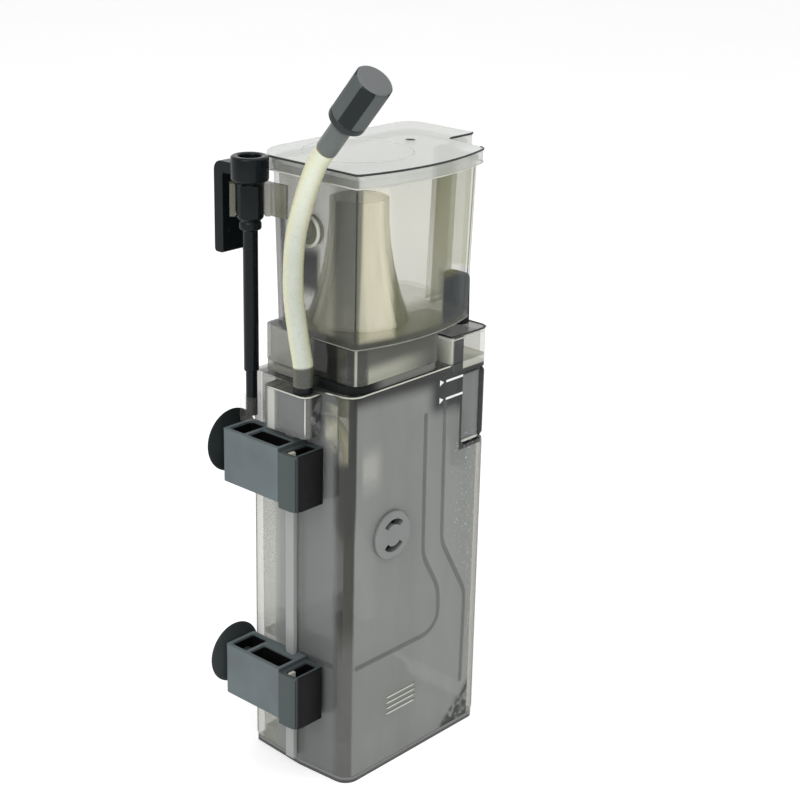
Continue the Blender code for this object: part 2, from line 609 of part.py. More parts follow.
def make_hanger():
    """Telescopic hanger tube: inner tube in a lug on the housing, outer tube with socket, collar and hook."""
    x, y = LEFT + TUBE_X, FRONT + TUBE_Y
    lug = prism("tube_lug", rounded([(x - 5, y - 5, 4), (side_x(TUBE_Y - 5) - GAP, y - 5, 0),
                                     (side_x(TUBE_Y + 5) - GAP, y + 5, 0), (x - 5, y + 5, 4)]),
                TUBE_FOOT_Z - 2, TUBE_FOOT_Z + 9)
    combine(lug, prism("cut", circle(x, y, INNER_TUBE_R + GAP), TUBE_FOOT_Z, TUBE_FOOT_Z + 12))
    inner_top = TUBE_SPLIT_Z + TUBE_OVERLAP
    revolve("inner_tube", [(INNER_TUBE_R, 0), (INNER_TUBE_R, inner_top - TUBE_FOOT_Z - GAP),
                           (INNER_TUBE_R - 1, inner_top - TUBE_FOOT_Z - GAP), (INNER_TUBE_R - 1, 0)],
            (x, y, TUBE_FOOT_Z + GAP), (0, 0, 1), "black_plastic", 24, closed=True)
    bore = INNER_TUBE_R + RUN * 0.6
    hole_r, hole_z = COLLAR_R - 3.2, COLLAR_Z0 - 6
    outer = revolve("hanger_tube", [
        (bore, TUBE_SPLIT_Z), (OUTER_TUBE_R, TUBE_SPLIT_Z), (OUTER_TUBE_R, SOCKET_Z0), (5.0, SOCKET_Z0),
        (5.0, SOCKET_Z0 + 4), (SOCKET_R, SOCKET_Z0 + 5), (SOCKET_R, COLLAR_Z0), (COLLAR_R, COLLAR_Z0 + 1.5),
        (COLLAR_R, COLLAR_Z1 - 1), (COLLAR_R - 1, COLLAR_Z1), (hole_r, COLLAR_Z1), (hole_r, hole_z),
        (bore, hole_z)], (x, y, 0), (0, 0, 1), "black_plastic", 32, closed=True)
    hx0, hx1 = LEFT + HOOK_X0, LEFT + HOOK_X1
    y0, y1 = FRONT + HOOK_Y0, FRONT + HOOK_Y0 + HOOK_T
    profile = rounded([(y + COLLAR_R + GAP, HOOK_Z1 - HOOK_ARM_T, 0), (y0, HOOK_Z1 - HOOK_ARM_T, 1.0),
                       (y0, HOOK_Z0, 1.0), (y1, HOOK_Z0, 1.5), (y1, HOOK_Z1, 4.5),
                       (y + COLLAR_R + GAP, HOOK_Z1, 0)])
    loft("hanger_hook", [[(hx, v, w) for v, w in profile] for hx in (hx0, hx1)], "black_plastic")
    return outer


def make_bracket(name, z0):
    """Open box bracket with a T slot for the rail, a deeper front block and a keyed back wall."""
    t, zb = BRACKET_WALL, z0 - BLOCK_DROP
    x0, x1 = LEFT - BRACKET_OUT, LEFT - SEAM_OUT - 0.8
    y0, y1 = FRONT + BRACKET_Y0, FRONT + BRACKET_Y1
    top = z0 + BRACKET_H
    plan = rounded([(x0, y0, BLOCK_ROUND), (x1, y0, BLOCK_ROUND / 2), (x1, y1, 1.2), (x0, y1, 1.2)])
    part = prism(name, plan, zb, top, "dark_grey")
    block_y = y0 + BLOCK_D
    combine(part, prism("cut", box_outline(x0 - 2, x1 + 2, block_y, y1 + 2), zb - 2, z0))
    combine(part, prism("cut", box_outline(x0 - 2, x1 + 2, y0 - 2, block_y), top - 1.5, top + 2))
    rail_y = FRONT + SEAM_Y + RAIL_HEAD / 2
    slot_x0 = LEFT - SEAM_OUT - 2.3 - 1.8 - 2 * GAP - GAP
    inner = slot_x0 - t
    combine(part, prism("cut", box_outline(x0 + t, inner, block_y + t, y1 - 14, 1.0), z0 - 5, top + 5))
    combine(part, prism("cut", box_outline(x0 + t, x1 - t, y1 - 12, y1 - t, 1.0), z0 - 5, top + 5))
    combine(part, prism("cut", box_outline(x0 + t, x1 - t, y0 + t, block_y - t, 1.0), zb + t, top + 5))
    half_head, half_neck = RAIL_HEAD / 2 + GAP, RAIL_NECK / 2 + GAP
    lip = LEFT - SEAM_OUT - 2.3 + GAP
    tee = [(slot_x0, rail_y - half_head), (lip, rail_y - half_head), (lip, rail_y - half_neck),
           (x1 + 2, rail_y - half_neck), (x1 + 2, rail_y + half_neck), (lip, rail_y + half_neck),
           (lip, rail_y + half_head), (slot_x0, rail_y + half_head)]
    combine(part, prism("cut", tee, zb - 3, top + 3))
    hole = circle(LEFT + PAD_X, z0 + PAD_Z, 3.0 + RUN, 24)
    combine(part, prism("cut", hole, y1 - t - 1, y1 + 2, axis="Y"))
    return part


def make_suction_cup(name, z0):
    """Rubber suction cup pressed in the bracket's back wall, facing the glass."""
    y = FRONT + BRACKET_Y1
    t = BRACKET_WALL
    profile = [(0, -t - 5), (4.4, -t - 5), (5, -t - 4.4), (5, -t - GAP), (3, -t - GAP), (3, GAP), (5, GAP),
               (6.5, 1.3), (PAD_R - 4, 3.2), (PAD_R, 4.4), (PAD_R, 5.0), (PAD_R - 2.2, 5.0), (6, 3.3), (0, 2.8)]
    revolve(name, profile, (LEFT + PAD_X, y, z0 + PAD_Z), (0, 1, 0), "black_rubber", 36)


def make_rail():
    """T-section rail on the left side that the brackets slide on."""
    y = FRONT + SEAM_Y + RAIL_HEAD / 2
    x2 = LEFT - SEAM_OUT - GAP
    x1, x0 = x2 - 2.0, x2 - 2.0 - 1.8
    a, b = RAIL_HEAD / 2, RAIL_NECK / 2
    tee = [(x0, y - a), (x1, y - a), (x1, y - b), (x2, y - b), (x2, y + b), (x1, y + b), (x1, y + a), (x0, y + a)]
    return prism("bracket_rail", tee[::-1], RAIL_Z0, RAIL_Z1)


def hose_line(points, count):
    """Smooth line through the points, read at even steps of its parameter."""
    ghost = [points[0] * 2 - points[1]] + points + [points[-1] * 2 - points[-2]]
    line = []
    for k in range(count + 1):
        s = k / count * (len(points) - 1)
        i = min(int(s), len(points) - 2)
        t = s - i
        a, b, c, d = ghost[i:i + 4]
        line.append(0.5 * ((2 * b) + (c - a) * t + (2 * a - 5 * b + 4 * c - d) * t ** 2
                           + (3 * b - a - 3 * c + d) * t ** 3))
    return line


def hose(name, line, diameter, kind):
    """Round hose along a line, with filled ends."""
    data = bpy.data.curves.new(name, "CURVE")
    data.dimensions = "3D"
    data.bevel_depth = diameter / 2 * MM
    data.bevel_resolution = 3
    data.use_fill_caps = True
    spline = data.splines.new("POLY")
    spline.points.add(len(line) - 1)
    for point, place in zip(spline.points, line):
        point.co = (*(place * MM), 1.0)
    obj = bpy.data.objects.new(name, data)
    bpy.context.collection.objects.link(obj)
    return finish(obj, kind)


def make_air():
    """Air box with nipple, the free hose up to the valve, and the inner hose down to the pump."""
    x0, x1 = LEFT - AIR_OUT, LEFT - SEAM_OUT - GAP
    y0, y1 = FRONT + AIR_Y0, FRONT + AIR_Y1
    box = prism("air_box", rounded([(x0, y0, 3), (x1, y0, 0), (x1, y1, 0), (x0, y1, 3)]), AIR_Z0, AIR_Z1)
    inside = box_outline(x0 + AIR_WALL, x1 + 3, y0 + AIR_WALL, y1 - AIR_WALL)
    combine(box, prism("cut", inside, AIR_Z0 + AIR_WALL, AIR_Z1 - AIR_WALL))
    hx, hy = LEFT + HOSE_X, FRONT + HOSE_Y
    rise = HOSE_FOOT_Z - AIR_Z1 - 2 * GAP
    revolve("air_nipple", [(NIPPLE_R, 0), (4.2, 0), (4.2, rise), (NIPPLE_R, rise)],
            (hx, hy, AIR_Z1 + GAP), (0, 0, 1), "black_plastic", 24, closed=True)
    route = [Vector((hx - HOSE_LEAN * rise_z, hy + y, HOSE_FOOT_Z + rise_z)) for y, rise_z in
             ((0.0, 0.0), (-0.2, 9.0), (2.5, 23.0), (5.0, 42.0), (3.4, 64.5), (-2.7, 84.0), (-9.9, 99.6),
              (-15.6, 107.0))]
    line = hose_line(route, 21)
    hose("air_hose", line, HOSE_D, "silicone")
    way = (line[-1] - line[-2]).normalized()
    end = line[-1] + way * GAP
    revolve("valve_connector", [(0, 0), (CONNECTOR_D / 2 - 0.6, 0), (CONNECTOR_D / 2, 0.6),
                                (CONNECTOR_D / 2, CONNECTOR_L - 3), (3.2, CONNECTOR_L - 2.4), (3.2, CONNECTOR_L),
                                (0, CONNECTOR_L)], tuple(end), way, "connector_grey", 28)
    tip = end + way * (CONNECTOR_L + GAP)
    u, v, w = frame_of(way)
    rings = []
    for r, h in ((KNOB_D / 2 - 1.6, 0), (KNOB_D / 2 - 0.4, 0.8), (KNOB_D / 2 - 0.4, 3.0), (KNOB_D / 2 - 0.9, 3.4),
                 (KNOB_D / 2, 4.0), (KNOB_D / 2, KNOB_L - 2.6), (KNOB_D / 2 - 0.7, KNOB_L - 0.9),
                 (KNOB_D / 2 - 2.4, KNOB_L)):
        ring = []
        for k in range(KNOB_FLATS * 6):
            t = 2 * pi * k / (KNOB_FLATS * 6)
            near = (t + pi / KNOB_FLATS) % (2 * pi / KNOB_FLATS) - pi / KNOB_FLATS
            flat = r * (0.94 / cos(near)) if h > 3.5 else r
            across = u * cos(t + KNOB_TURN) + v * sin(t + KNOB_TURN)
            ring.append(tuple(tip + w * h + across * min(flat, r)))
        rings.append(ring)
    loft("air_valve_knob", rings, "dark_grey", smooth=False)
    corner = WALL + INNER_HOSE_D / 2 + 1.2
    inner = [Vector((LEFT + WALL + 2 * GAP, FRONT + HOSE_Y, PORT_Z)),
             Vector((LEFT + corner + 1.5, FRONT + HOSE_Y - 6, PORT_Z - 1)),
             Vector((LEFT + corner + 3, FRONT + corner + 5, PORT_Z - 12)),
             Vector((LEFT + corner + 2, FRONT + corner + 2, PORT_Z - 30)),
             Vector((LEFT + corner + 2, FRONT + corner + 2, PORT_Z - 64)),
             Vector((LEFT + corner + 2, FRONT + corner + 2, CHAMBER_Z + SHEET_T / 2 + GAP))]
    hose("inner_air_hose", hose_line(inner, 20), INNER_HOSE_D, "silicone")


make_housing()
make_base()
make_hood()
make_chambers()
make_pump()
make_intake_float()
make_dial()
make_cup()
make_clip()
make_lid()
make_gland()
make_hanger()
make_rail()
make_bracket("upper_bracket", UPPER_Z)
make_bracket("lower_bracket", LOWER_Z)
make_suction_cup("upper_suction_cup", UPPER_Z)
make_suction_cup("lower_suction_cup", LOWER_Z)
make_air()
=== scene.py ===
"""Looks of a small in-tank protein skimmer: smoke-clear housing, clear cup, air hose with valve, brackets.

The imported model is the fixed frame. Every class below dresses one sub-assembly: it gives the solids their
finish and adds the fine pieces that the solids leave out. All lengths are in metres, unless a comment or a
docstring says millimetres.
"""
from __future__ import annotations

import logging
from dataclasses import astuple, dataclass, field, replace
from enum import Enum
from functools import reduce

import bpy
import numpy as np
from mathutils import Matrix, Vector

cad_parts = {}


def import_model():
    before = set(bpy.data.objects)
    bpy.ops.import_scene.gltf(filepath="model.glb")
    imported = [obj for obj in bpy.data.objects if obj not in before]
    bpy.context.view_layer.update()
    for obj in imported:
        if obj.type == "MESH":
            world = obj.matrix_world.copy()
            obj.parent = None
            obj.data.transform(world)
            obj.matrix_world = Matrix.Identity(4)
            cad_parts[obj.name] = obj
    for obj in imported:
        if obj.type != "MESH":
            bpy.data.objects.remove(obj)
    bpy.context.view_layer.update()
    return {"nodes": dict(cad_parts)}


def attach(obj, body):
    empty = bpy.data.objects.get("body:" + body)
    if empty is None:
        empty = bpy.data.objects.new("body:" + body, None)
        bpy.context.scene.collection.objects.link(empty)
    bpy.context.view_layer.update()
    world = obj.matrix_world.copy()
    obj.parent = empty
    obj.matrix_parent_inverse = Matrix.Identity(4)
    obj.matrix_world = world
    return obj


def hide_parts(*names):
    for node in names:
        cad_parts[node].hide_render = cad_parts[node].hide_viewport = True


LOG = logging.getLogger("skimmer")
MM = 0.001

Colour = tuple[float, float, float]
Way = tuple[float, float, float]
Step = tuple[Way, float, float]
Socket = bpy.types.NodeSocket


class Slot(Enum):
    """Names of the record's material slots, passed along with new pieces."""

    SMOKE = "smoke_clear"
    CUP = "cup_clear"
    GREY = "dark_grey"
    BLACK = "black_plastic"
    RUBBER = "black_rubber"
    SILICONE = "silicone"


class Graph:
    """A material's node tree, with short calls for the nodes that the finishes use."""

    def __init__(self, name: str) -> None:
        """Starts a material with its Principled shader.

        Args:
            name: name of the material.
        """
        self.material = bpy.data.materials.new(name)
        self.material.use_nodes = True
        self.tree = self.material.node_tree
        self.shader = self.tree.nodes["Principled BSDF"]
        self.coords = self.tree.nodes.new("ShaderNodeTexCoord").outputs["Object"]

    def set(self, **values: object) -> None:
        """Sets constants on the shader's own sockets; underscores in a name stand for spaces."""
        for key, value in values.items():
            self.shader.inputs[key.replace("_", " ")].default_value = value

    def link(self, output: Socket, name: str) -> None:
        """Links an output to one of the shader's sockets."""
        self.tree.links.new(output, self.shader.inputs[name])

    def noise(self, scale: float, detail: float = 3.0, stretch: Way = (1, 1, 1)) -> Socket:
        """Noise in object space.

        Args:
            scale: cells per metre.
            detail: octaves of finer noise.
            stretch: factors on X, Y and Z before the noise is read.

        Returns:
            The noise value socket, 0 to 1.
        """
        mapping = self.tree.nodes.new("ShaderNodeMapping")
        mapping.inputs["Scale"].default_value = stretch
        self.tree.links.new(self.coords, mapping.inputs["Vector"])
        node = self.tree.nodes.new("ShaderNodeTexNoise")
        node.inputs["Scale"].default_value = scale
        node.inputs["Detail"].default_value = detail
        self.tree.links.new(mapping.outputs["Vector"], node.inputs["Vector"])
        return node.outputs["Fac"]

    def span(self, source: Socket, low: float, high: float, start: float = 0.3, stop: float = 0.7) -> Socket:
        """Maps a value from start..stop to low..high and clamps it.

        Args:
            source: value to map.
            low: result at start.
            high: result at stop.
            start: lower end of the source's range.
            stop: upper end of the source's range.

        Returns:
            The mapped value socket.
        """
        node = self.tree.nodes.new("ShaderNodeMapRange")
        for name, value in (("From Min", start), ("From Max", stop), ("To Min", low), ("To Max", high)):
            node.inputs[name].default_value = value
        self.tree.links.new(source, node.inputs["Value"])
        return node.outputs["Result"]

    def blend(self, factor: Socket, first: Colour | Socket, second: Colour | Socket) -> Socket:
        """Mixes two colours.

        Args:
            factor: 0 for the first, 1 for the second.
            first: a colour or a colour socket.
            second: a colour or a colour socket.

        Returns:
            The mixed colour socket.
        """
        node = self.tree.nodes.new("ShaderNodeMix")
        node.data_type = "RGBA"
        self.tree.links.new(factor, node.inputs["Factor"])
        for value, socket in ((first, node.inputs[6]), (second, node.inputs[7])):
            if isinstance(value, tuple):
                socket.default_value = (*value, 1.0)
            else:
                self.tree.links.new(value, socket)
        return node.outputs[2]

    def lerp(self, factor: Socket, first: float | Socket, second: float | Socket) -> Socket:
        """Mixes two numbers.

        Args:
            factor: 0 for the first, 1 for the second.
            first: a number or a value socket.
            second: a number or a value socket.

        Returns:
            The mixed value socket.
        """
        node = self.tree.nodes.new("ShaderNodeMix")
        self.tree.links.new(factor, node.inputs[0])
        for value, socket in ((first, node.inputs[2]), (second, node.inputs[3])):
            if isinstance(value, float):
                socket.default_value = value
            else:
                self.tree.links.new(value, socket)
        return node.outputs[0]

    def times(self, first: Socket, second: Socket) -> Socket:
        """Product of two values.

        Args:
            first: a value socket.
            second: a value socket.

        Returns:
            The product's socket.
        """
        node = self.tree.nodes.new("ShaderNodeMath")
        node.operation = "MULTIPLY"
        self.tree.links.new(first, node.inputs[0])
        self.tree.links.new(second, node.inputs[1])
        return node.outputs[0]

    def bump(self, height: Socket, strength: float, distance: float) -> None:
        """Turns a height into a bump on the shader.

        Args:
            height: value socket, 0 to 1.
            strength: share of the bump that shows.
            distance: height in metres that 1 stands for.
        """
        node = self.tree.nodes.new("ShaderNodeBump")
        node.inputs["Strength"].default_value = strength
        node.inputs["Distance"].default_value = distance
        self.tree.links.new(height, node.inputs["Height"])
        self.link(node.outputs["Normal"], "Normal")

    def facing(self) -> Socket:
        """How far the surface turns away from the eye.

        Returns:
            A value socket, 0 straight on to 1 at its edge.
        """
        node = self.tree.nodes.new("ShaderNodeLayerWeight")
        node.inputs["Blend"].default_value = 0.5
        return node.outputs["Facing"]

    def along(self, way: Way, start: float, stop: float) -> Socket:
        """Soft step along a direction.

        Args:
            way: direction that the place is measured along.
            start: measure at which the step is 0.
            stop: measure at which the step is 1.

        Returns:
            The step's value socket.
        """
        node = self.tree.nodes.new("ShaderNodeVectorMath")
        node.operation = "DOT_PRODUCT"
        node.inputs[1].default_value = way
        self.tree.links.new(self.coords, node.inputs[0])
        step = self.span(node.outputs["Value"], 0.0, 1.0, start, stop)
        step.node.interpolation_type = "SMOOTHSTEP"
        return step

    def around(self, centre: tuple[float, float], towards: float, half: float, soft: float) -> Socket:
        """Soft band of directions round an upright axis.

        Args:
            centre: X and Y of the axis.
            towards: middle of the band in degrees from +X.
            half: half width of the band in degrees.
            soft: degrees over which it fades out.

        Returns:
            A value socket: the cosine between the place's direction from the axis and the band's middle,
            mapped from cos(half + soft)..cos(half) to 0..1.
        """
        middle = (np.cos(np.radians(towards)), np.sin(np.radians(towards)), 0.0)
        here = self.coords
        for name, value in (("SUBTRACT", (*centre, 0.0)), ("MULTIPLY", (1.0, 1.0, 0.0)),
                            ("NORMALIZE", None), ("DOT_PRODUCT", middle)):
            node = self.tree.nodes.new("ShaderNodeVectorMath")
            node.operation = name
            self.tree.links.new(here, node.inputs[0])
            if value:
                node.inputs[1].default_value = value
            here = node.outputs[0]
        far, near = np.cos(np.radians((half + soft, half)))
        return self.span(node.outputs["Value"], 0.0, 1.0, far, near)

    def attribute(self, name: str) -> Socket:
        """A value carried by the mesh.

        Args:
            name: name of the mesh attribute.

        Returns:
            Its value socket.
        """
        node = self.tree.nodes.new("ShaderNodeAttribute")
        node.attribute_name = name
        return node.outputs["Fac"]


def shade(colour: Colour, factor: float) -> Colour:
    """A colour times a factor."""
    return tuple(min(1.0, c * factor) for c in colour)


def slanted(way: Way, none: float, full: float) -> Step:
    """Soft step along any direction, from no cover at none to full cover at full, in mm along it."""
    return way, none * MM, full * MM


def right_of(none: float, full: float) -> Step:
    """Soft step to the right: X in mm where it starts and where it is full."""
    return slanted((1, 0, 0), none, full)


def left_of(none: float, full: float) -> Step:
    """Soft step to the left: X in mm where it starts and where it is full."""
    return slanted((-1, 0, 0), -none, -full)


def behind(none: float, full: float) -> Step:
    """Soft step to the rear: Y in mm where it starts and where it is full."""
    return slanted((0, 1, 0), none, full)


def ahead_of(none: float, full: float) -> Step:
    """Soft step to the front: Y in mm where it starts and where it is full."""
    return slanted((0, -1, 0), -none, -full)


def above(none: float, full: float) -> Step:
    """Soft step upwards: Z in mm where it starts and where it is full."""
    return slanted((0, 0, 1), none, full)


def below(none: float, full: float) -> Step:
    """Soft step downwards: Z in mm where it starts and where it is full."""
    return slanted((0, 0, -1), -none, -full)


@dataclass(frozen=True)
class Fan:
    """Band of directions round an upright axis, in degrees, that bounds a zone."""

    centre: tuple[float, float]
    towards: float
    half: float
    soft: float


@dataclass(frozen=True)
class Zone:
    """Place on a wall with its own tint and cover, bounded by soft steps and fans."""

    tint: Colour
    cover: float
    bounds: tuple[Step | Fan, ...]
    mottle: float = 0.0

    def mask(self, g: Graph) -> Socket:
        """Product of the soft steps and fans; a mottled zone is also broken by noise.

        Args:
            g: node tree of the finish.

        Returns:
            A value socket, 1 inside the zone and 0 outside.
        """
        parts = [g.around(*astuple(b)) if isinstance(b, Fan) else g.along(*b) for b in self.bounds]
        if self.mottle:
            parts.append(g.span(g.noise(self.mottle, 5.0), 0.15, 1.0, 0.40, 0.55))
        return reduce(g.times, parts)


@dataclass(frozen=True)
class ClearPlastic:
    """See-through moulding: tint, cover straight on and at grazing edges, zones, and faint flow marks."""

    name: str
    tint: Colour
    cover: float
    edge: float
    zones: tuple[Zone, ...] = ()
    # The tint that a wall takes as it turns away is painted reflection at grazing angles.
    edge_tint: Colour = (0.06, 0.062, 0.056)
    edge_from: float = 0.62
    edge_full: float = 0.97
    rough: float = 0.07
    gloss: float = 0.35
    flow: float = 0.08
    streak: Way = (1.0, 1.0, 0.22)
    refraction: float = 1.46

    def build(self) -> bpy.types.Material:
        """Builds the material.

        Returns:
            The material: tint and cover start from the plain wall, change zone by zone, and go to the edge
            values as the wall turns away.
        """
        flow_cells, cover_cells, gloss_cells, wave_cells = 42.0, 25.0, 900.0, 90.0
        g = Graph(self.name)
        marks = g.span(g.noise(flow_cells, 4.0, self.streak), 0.0, 1.0)
        tone = g.blend(marks, shade(self.tint, 1 - self.flow), shade(self.tint, 1 + self.flow))
        cover = g.span(g.noise(cover_cells), self.cover * 0.96, min(1.0, self.cover * 1.04))
        for zone in self.zones:
            mask = zone.mask(g)
            tone = g.blend(mask, tone, zone.tint)
            cover = g.lerp(mask, cover, zone.cover)
        turned = g.span(g.facing(), 0.0, 1.0, self.edge_from, self.edge_full)
        g.link(g.blend(turned, tone, self.edge_tint), "Base Color")
        g.link(g.lerp(turned, cover, self.edge), "Alpha")
        g.link(g.span(g.noise(gloss_cells), self.rough, self.rough + 0.08), "Roughness")
        g.bump(g.noise(wave_cells, 2.0), 0.03, 0.4 * MM)
        g.set(IOR=self.refraction, Specular_IOR_Level=self.gloss)
        return g.material


@dataclass(frozen=True)
class SatinPlastic:
    """Opaque moulded plastic with a fine grain and slightly uneven gloss."""

    name: str
    colour: Colour
    rough: float
    grain: float = 1800.0
    depth: float = 0.12
    gloss: float = 0.12
    zones: tuple[Zone, ...] = ()
    # Tone of the painted shade on the flats that the mesh marks.
    flat_shade: Colour | None = None

    def build(self) -> bpy.types.Material:
        """Builds the material.

        Returns:
            The material: two close tones by a soft noise, other tones in its zones, painted shade on the
                flats that the
            mesh marks with its flat_shade value, and a fine grain as bump.
        """
        cloud_cells, gloss_cells = 60.0, 240.0
        g = Graph(self.name)
        cloud = g.span(g.noise(cloud_cells, 4.0), 0.0, 1.0)
        tone = g.blend(cloud, shade(self.colour, 0.9), shade(self.colour, 1.1))
        for zone in self.zones:
            tone = g.blend(zone.mask(g), tone, zone.tint)
        if self.flat_shade:
            tone = g.blend(g.attribute("flat_shade"), tone, self.flat_shade)
        g.link(tone, "Base Color")
        g.link(g.span(g.noise(gloss_cells), self.rough - 0.06, self.rough + 0.08), "Roughness")
        g.bump(g.noise(self.grain, 2.0), self.depth, 0.2 * MM)
        g.set(Specular_IOR_Level=self.gloss)
        return g.material


@dataclass(frozen=True)
class Silicone:
    """Milky hose wall: paler as it rises, creamy at its rims, and dark where a barb sits inside it."""

    name: str
    colour: Colour
    barb: Colour
    pale: Colour
    rim: Colour
    rise: tuple[float, float] = (250.0 * MM, 296.0 * MM)
    refraction: float = 1.41

    def build(self) -> bpy.types.Material:
        """Builds the material.

        Returns:
            The material: soft clouds, mixed to the pale tone by height, to the rim's as the wall turns away,
            and to the barb's by an attribute of the mesh.
        """
        cloud_cells, gloss_cells, wave_cells = 110.0, 500.0, 300.0
        g = Graph(self.name)
        cloud = g.span(g.noise(cloud_cells, 3.0), 0.0, 1.0)
        milky = g.blend(cloud, shade(self.colour, 0.94), shade(self.colour, 1.05))
        milky = g.blend(g.along((0, 0, 1), *self.rise), milky, self.pale)
        milky = g.blend(g.span(g.facing(), 0.0, 0.85, 0.08, 0.45), milky, self.rim)
        g.link(g.blend(g.attribute("barb"), milky, self.barb), "Base Color")
        g.link(g.span(g.noise(gloss_cells), 0.24, 0.36), "Roughness")
        g.bump(g.noise(wave_cells, 2.0), 0.05, 0.3 * MM)
        g.set(Subsurface_Weight=0.25, Subsurface_Scale=4.0 * MM, IOR=self.refraction)
        return g.material


@dataclass(frozen=True)
class Droplets:
    """Small drops: each one somewhere between a dark and a bright tone, set by an attribute."""

    name: str
    dark: Colour
    bright: Colour

    def build(self) -> bpy.types.Material:
        """Builds the material.

        Returns:
            The material: wet and half clear, its tone by the drop's own value.
        """
        g = Graph(self.name)
        g.link(g.blend(g.attribute("tone"), self.dark, self.bright), "Base Color")
        g.set(Roughness=0.08, Alpha=0.72, IOR=1.33)
        return g.material


@dataclass(frozen=True)
class Ink:
    """Thin printed mark with a slightly worn edge."""

    name: str
    colour: Colour

    def build(self) -> bpy.types.Material:
        """Builds the material.

        Returns:
            The material: one tone broken by fine noise.
        """
        g = Graph(self.name)
        wear = g.span(g.noise(1400.0), 0.0, 1.0)
        g.link(g.blend(wear, shade(self.colour, 0.82), self.colour), "Base Color")
        g.set(Roughness=0.5)
        return g.material


# Front walls of housing, hood and cup, for zones that belong to them alone.
FRONT_FACE = ahead_of(-28.7, -29.7)
# Bar in the hood's front that goes on down into the housing.
HOOD_BAR = (FRONT_FACE, right_of(21.2, 21.8), left_of(28.8, 28.2))
BAR_BLACK = (0.022, 0.024, 0.026)

# The knob's own cap is added where its axis is known. Its flat_shade tone is painted shade on every second
# flat and on most of the collar.
KNOB = SatinPlastic("valve_knob_grey", (0.066, 0.076, 0.077), 0.34, gloss=0.2, flat_shade=(0.008, 0.011, 0.011))
# Painted light: the lighter tone of the knob's end.
KNOB_CAP = (0.122, 0.128, 0.132)


